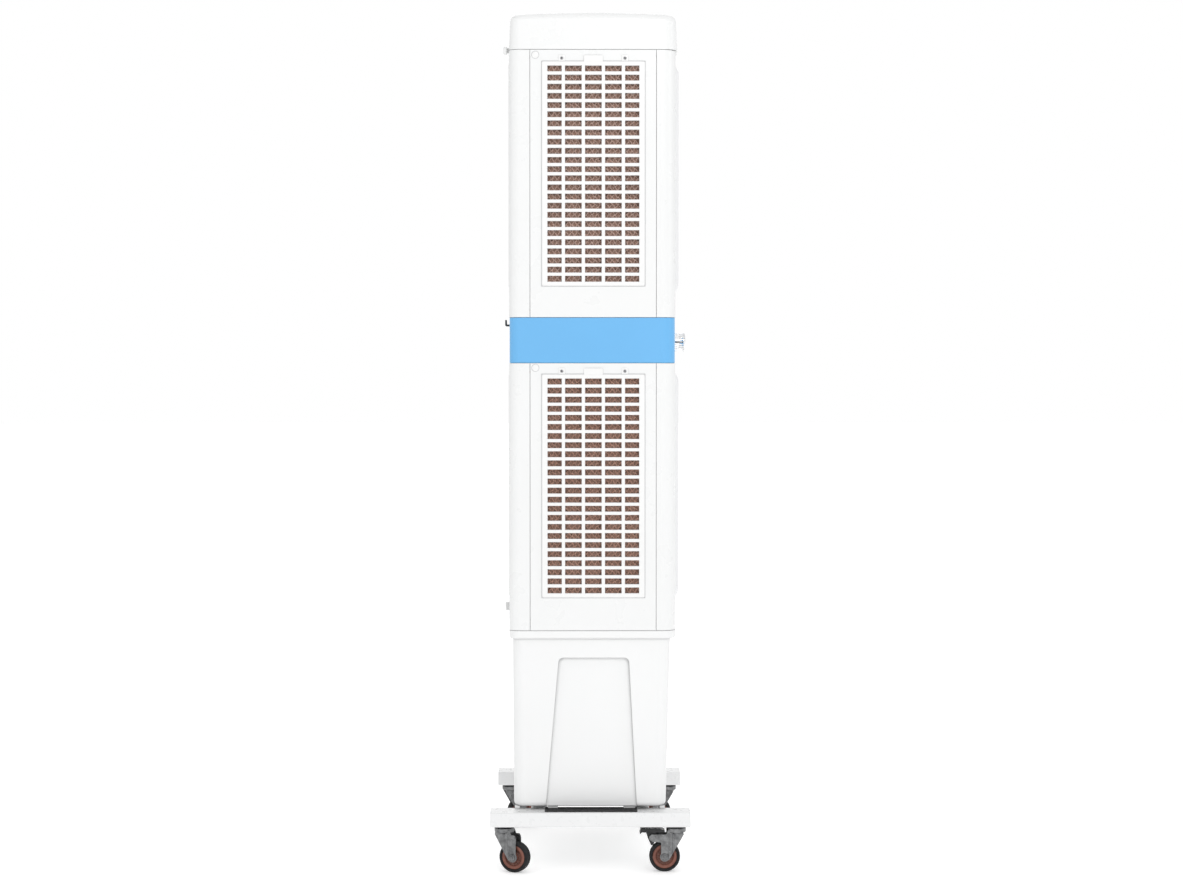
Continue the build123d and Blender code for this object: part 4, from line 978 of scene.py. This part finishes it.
def add_inlet_thread():
    """Thread ridges and a bright hose face on the water inlet."""
    mount = [m for m in frame["record"]["mounts"] if m["name"] == "water_inlet"][0]
    at = mount["pos_m"]
    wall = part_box("rear_panel_lower")[1].y
    placed = axis_frame((at[0], wall, at[2]), (0, 1, 0))
    bm = bmesh.new()
    profile = [(9.9, 1.5)]
    for i in range(THREAD_RIDGES):
        along = 2.2 + i * THREAD_PITCH
        profile += [(9.9, along), (10.75, along + 0.6), (10.75, along + 0.9), (9.9, along + 1.5)]
    profile += [(9.9, 12.2), (10.3, 12.9), (7.6, 13.15), (7.6, 11)]
    lathe(bm, profile, placed, 72)
    collar = [(11, -0.2), (15.5, -0.2), (16.2, 0.5), (16.2, 1.4), (15.4, 2.1), (10.6, 2.1)]
    lathe(bm, collar, placed, 6)
    piece("inlet_thread", bm, WHITE, "cooler", 35)


CROSSBAR_Y = 0.125
BEAD_HALF_LENGTH = 20.0
BEAD_STEPS = 26
BEAD_SIDES = 6
BEAD_RADIUS = 2.3
BEAD_RIPPLE = 0.5


def weld_bead(bm, sign, rail, y, z, side):
    """One rippled quarter-round bead along Y, in the corner of a rail and a cross member."""
    rows = []
    for i in range(BEAD_STEPS + 1):
        across = -BEAD_HALF_LENGTH + 2 * BEAD_HALF_LENGTH * i / BEAD_STEPS
        bulge = BEAD_RADIUS + BEAD_RIPPLE * math.cos(i * math.pi)
        ring = []
        for k in range(BEAD_SIDES + 1):
            angle = math.pi * k / BEAD_SIDES / 2
            out = bulge * math.cos(angle) * MM
            rise = bulge * math.sin(angle) * MM
            spot = Vector((sign * (-rail - out), y + across * MM, z + side * rise))
            ring.append(bm.verts.new(spot))
        rows.append(ring)
    for a, b in zip(rows, rows[1:]):
        for k in range(BEAD_SIDES):
            bm.faces.new([a[k], a[k + 1], b[k + 1], b[k]])


def add_weld_beads():
    """Painted weld beads where the cross members meet the rails."""
    low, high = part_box("trolley_crossbars")
    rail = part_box("trolley_rail_left")[1].x
    bm = bmesh.new()
    for sign in (-1, 1):
        for y in (-CROSSBAR_Y, CROSSBAR_Y):
            weld_bead(bm, sign, rail, y, low.z, -1)
            weld_bead(bm, sign, rail, y, high.z, 1)
    piece("weld_beads", bm, ENAMEL, "cooler", 60)


# ---------------------------------------------------------------- assembly
SEED = 7

add_camera()
add_studio()
random.seed(SEED)

dress(starting("front_panel", "rear_panel", "side_panel"), WHITE)
dress(["top_cap"], CAP_WHITE)
dress(["water_tank"], TANK_WHITE)
dress(starting("side_grille", "rear_grille"), GRILLE_WHITE)
dress(starting("outlet_frame", "vane_"), OUTLET_WHITE)
dress(["control_band"], BLUE)
dress(starting("trolley_"), ENAMEL)
dress(starting("caster_fork") + ["caster_stems"], ZINC)
dress(starting("brake_pedal"), BLACK_STEEL)
dress(starting("fan_motor"), SHEET_METAL)
dress(["pump", "float_arm"], DARK)
dress(["water_pipes", "drain_cap"], PIPE)
dress(["water_inlet"], WHITE)
dress(starting("caster_hub"), HUB)
# painted shade: the rest strips take black tyre rubber so the gap under the tank shows dark
dress(starting("caster_tyre") + ["rest_strips"], TYRE)
dress(starting("fan_lower", "fan_upper"), FAN_GREY)
dress(starting("cooling_pads"), PAPER_SHADED)
dress(["control_knob"], CHROME)
dress(["panel_screws"], SCREW)
dress(["rear_fittings"], DARK)

for module in ("lower", "upper"):
    add_pads(module)
    add_fan(module)
    add_motor_fins(module)
for caster in ("front_left", "front_right", "rear_left", "rear_right"):
    add_wheel(caster)
    add_caster_trim(caster)
for caster in ("front_left", "front_right"):
    add_pedal_grips(caster)
add_knob()
add_grille_shadow_lines()
add_screws()
add_rear_fittings()
add_inlet_thread()
add_weld_beads()
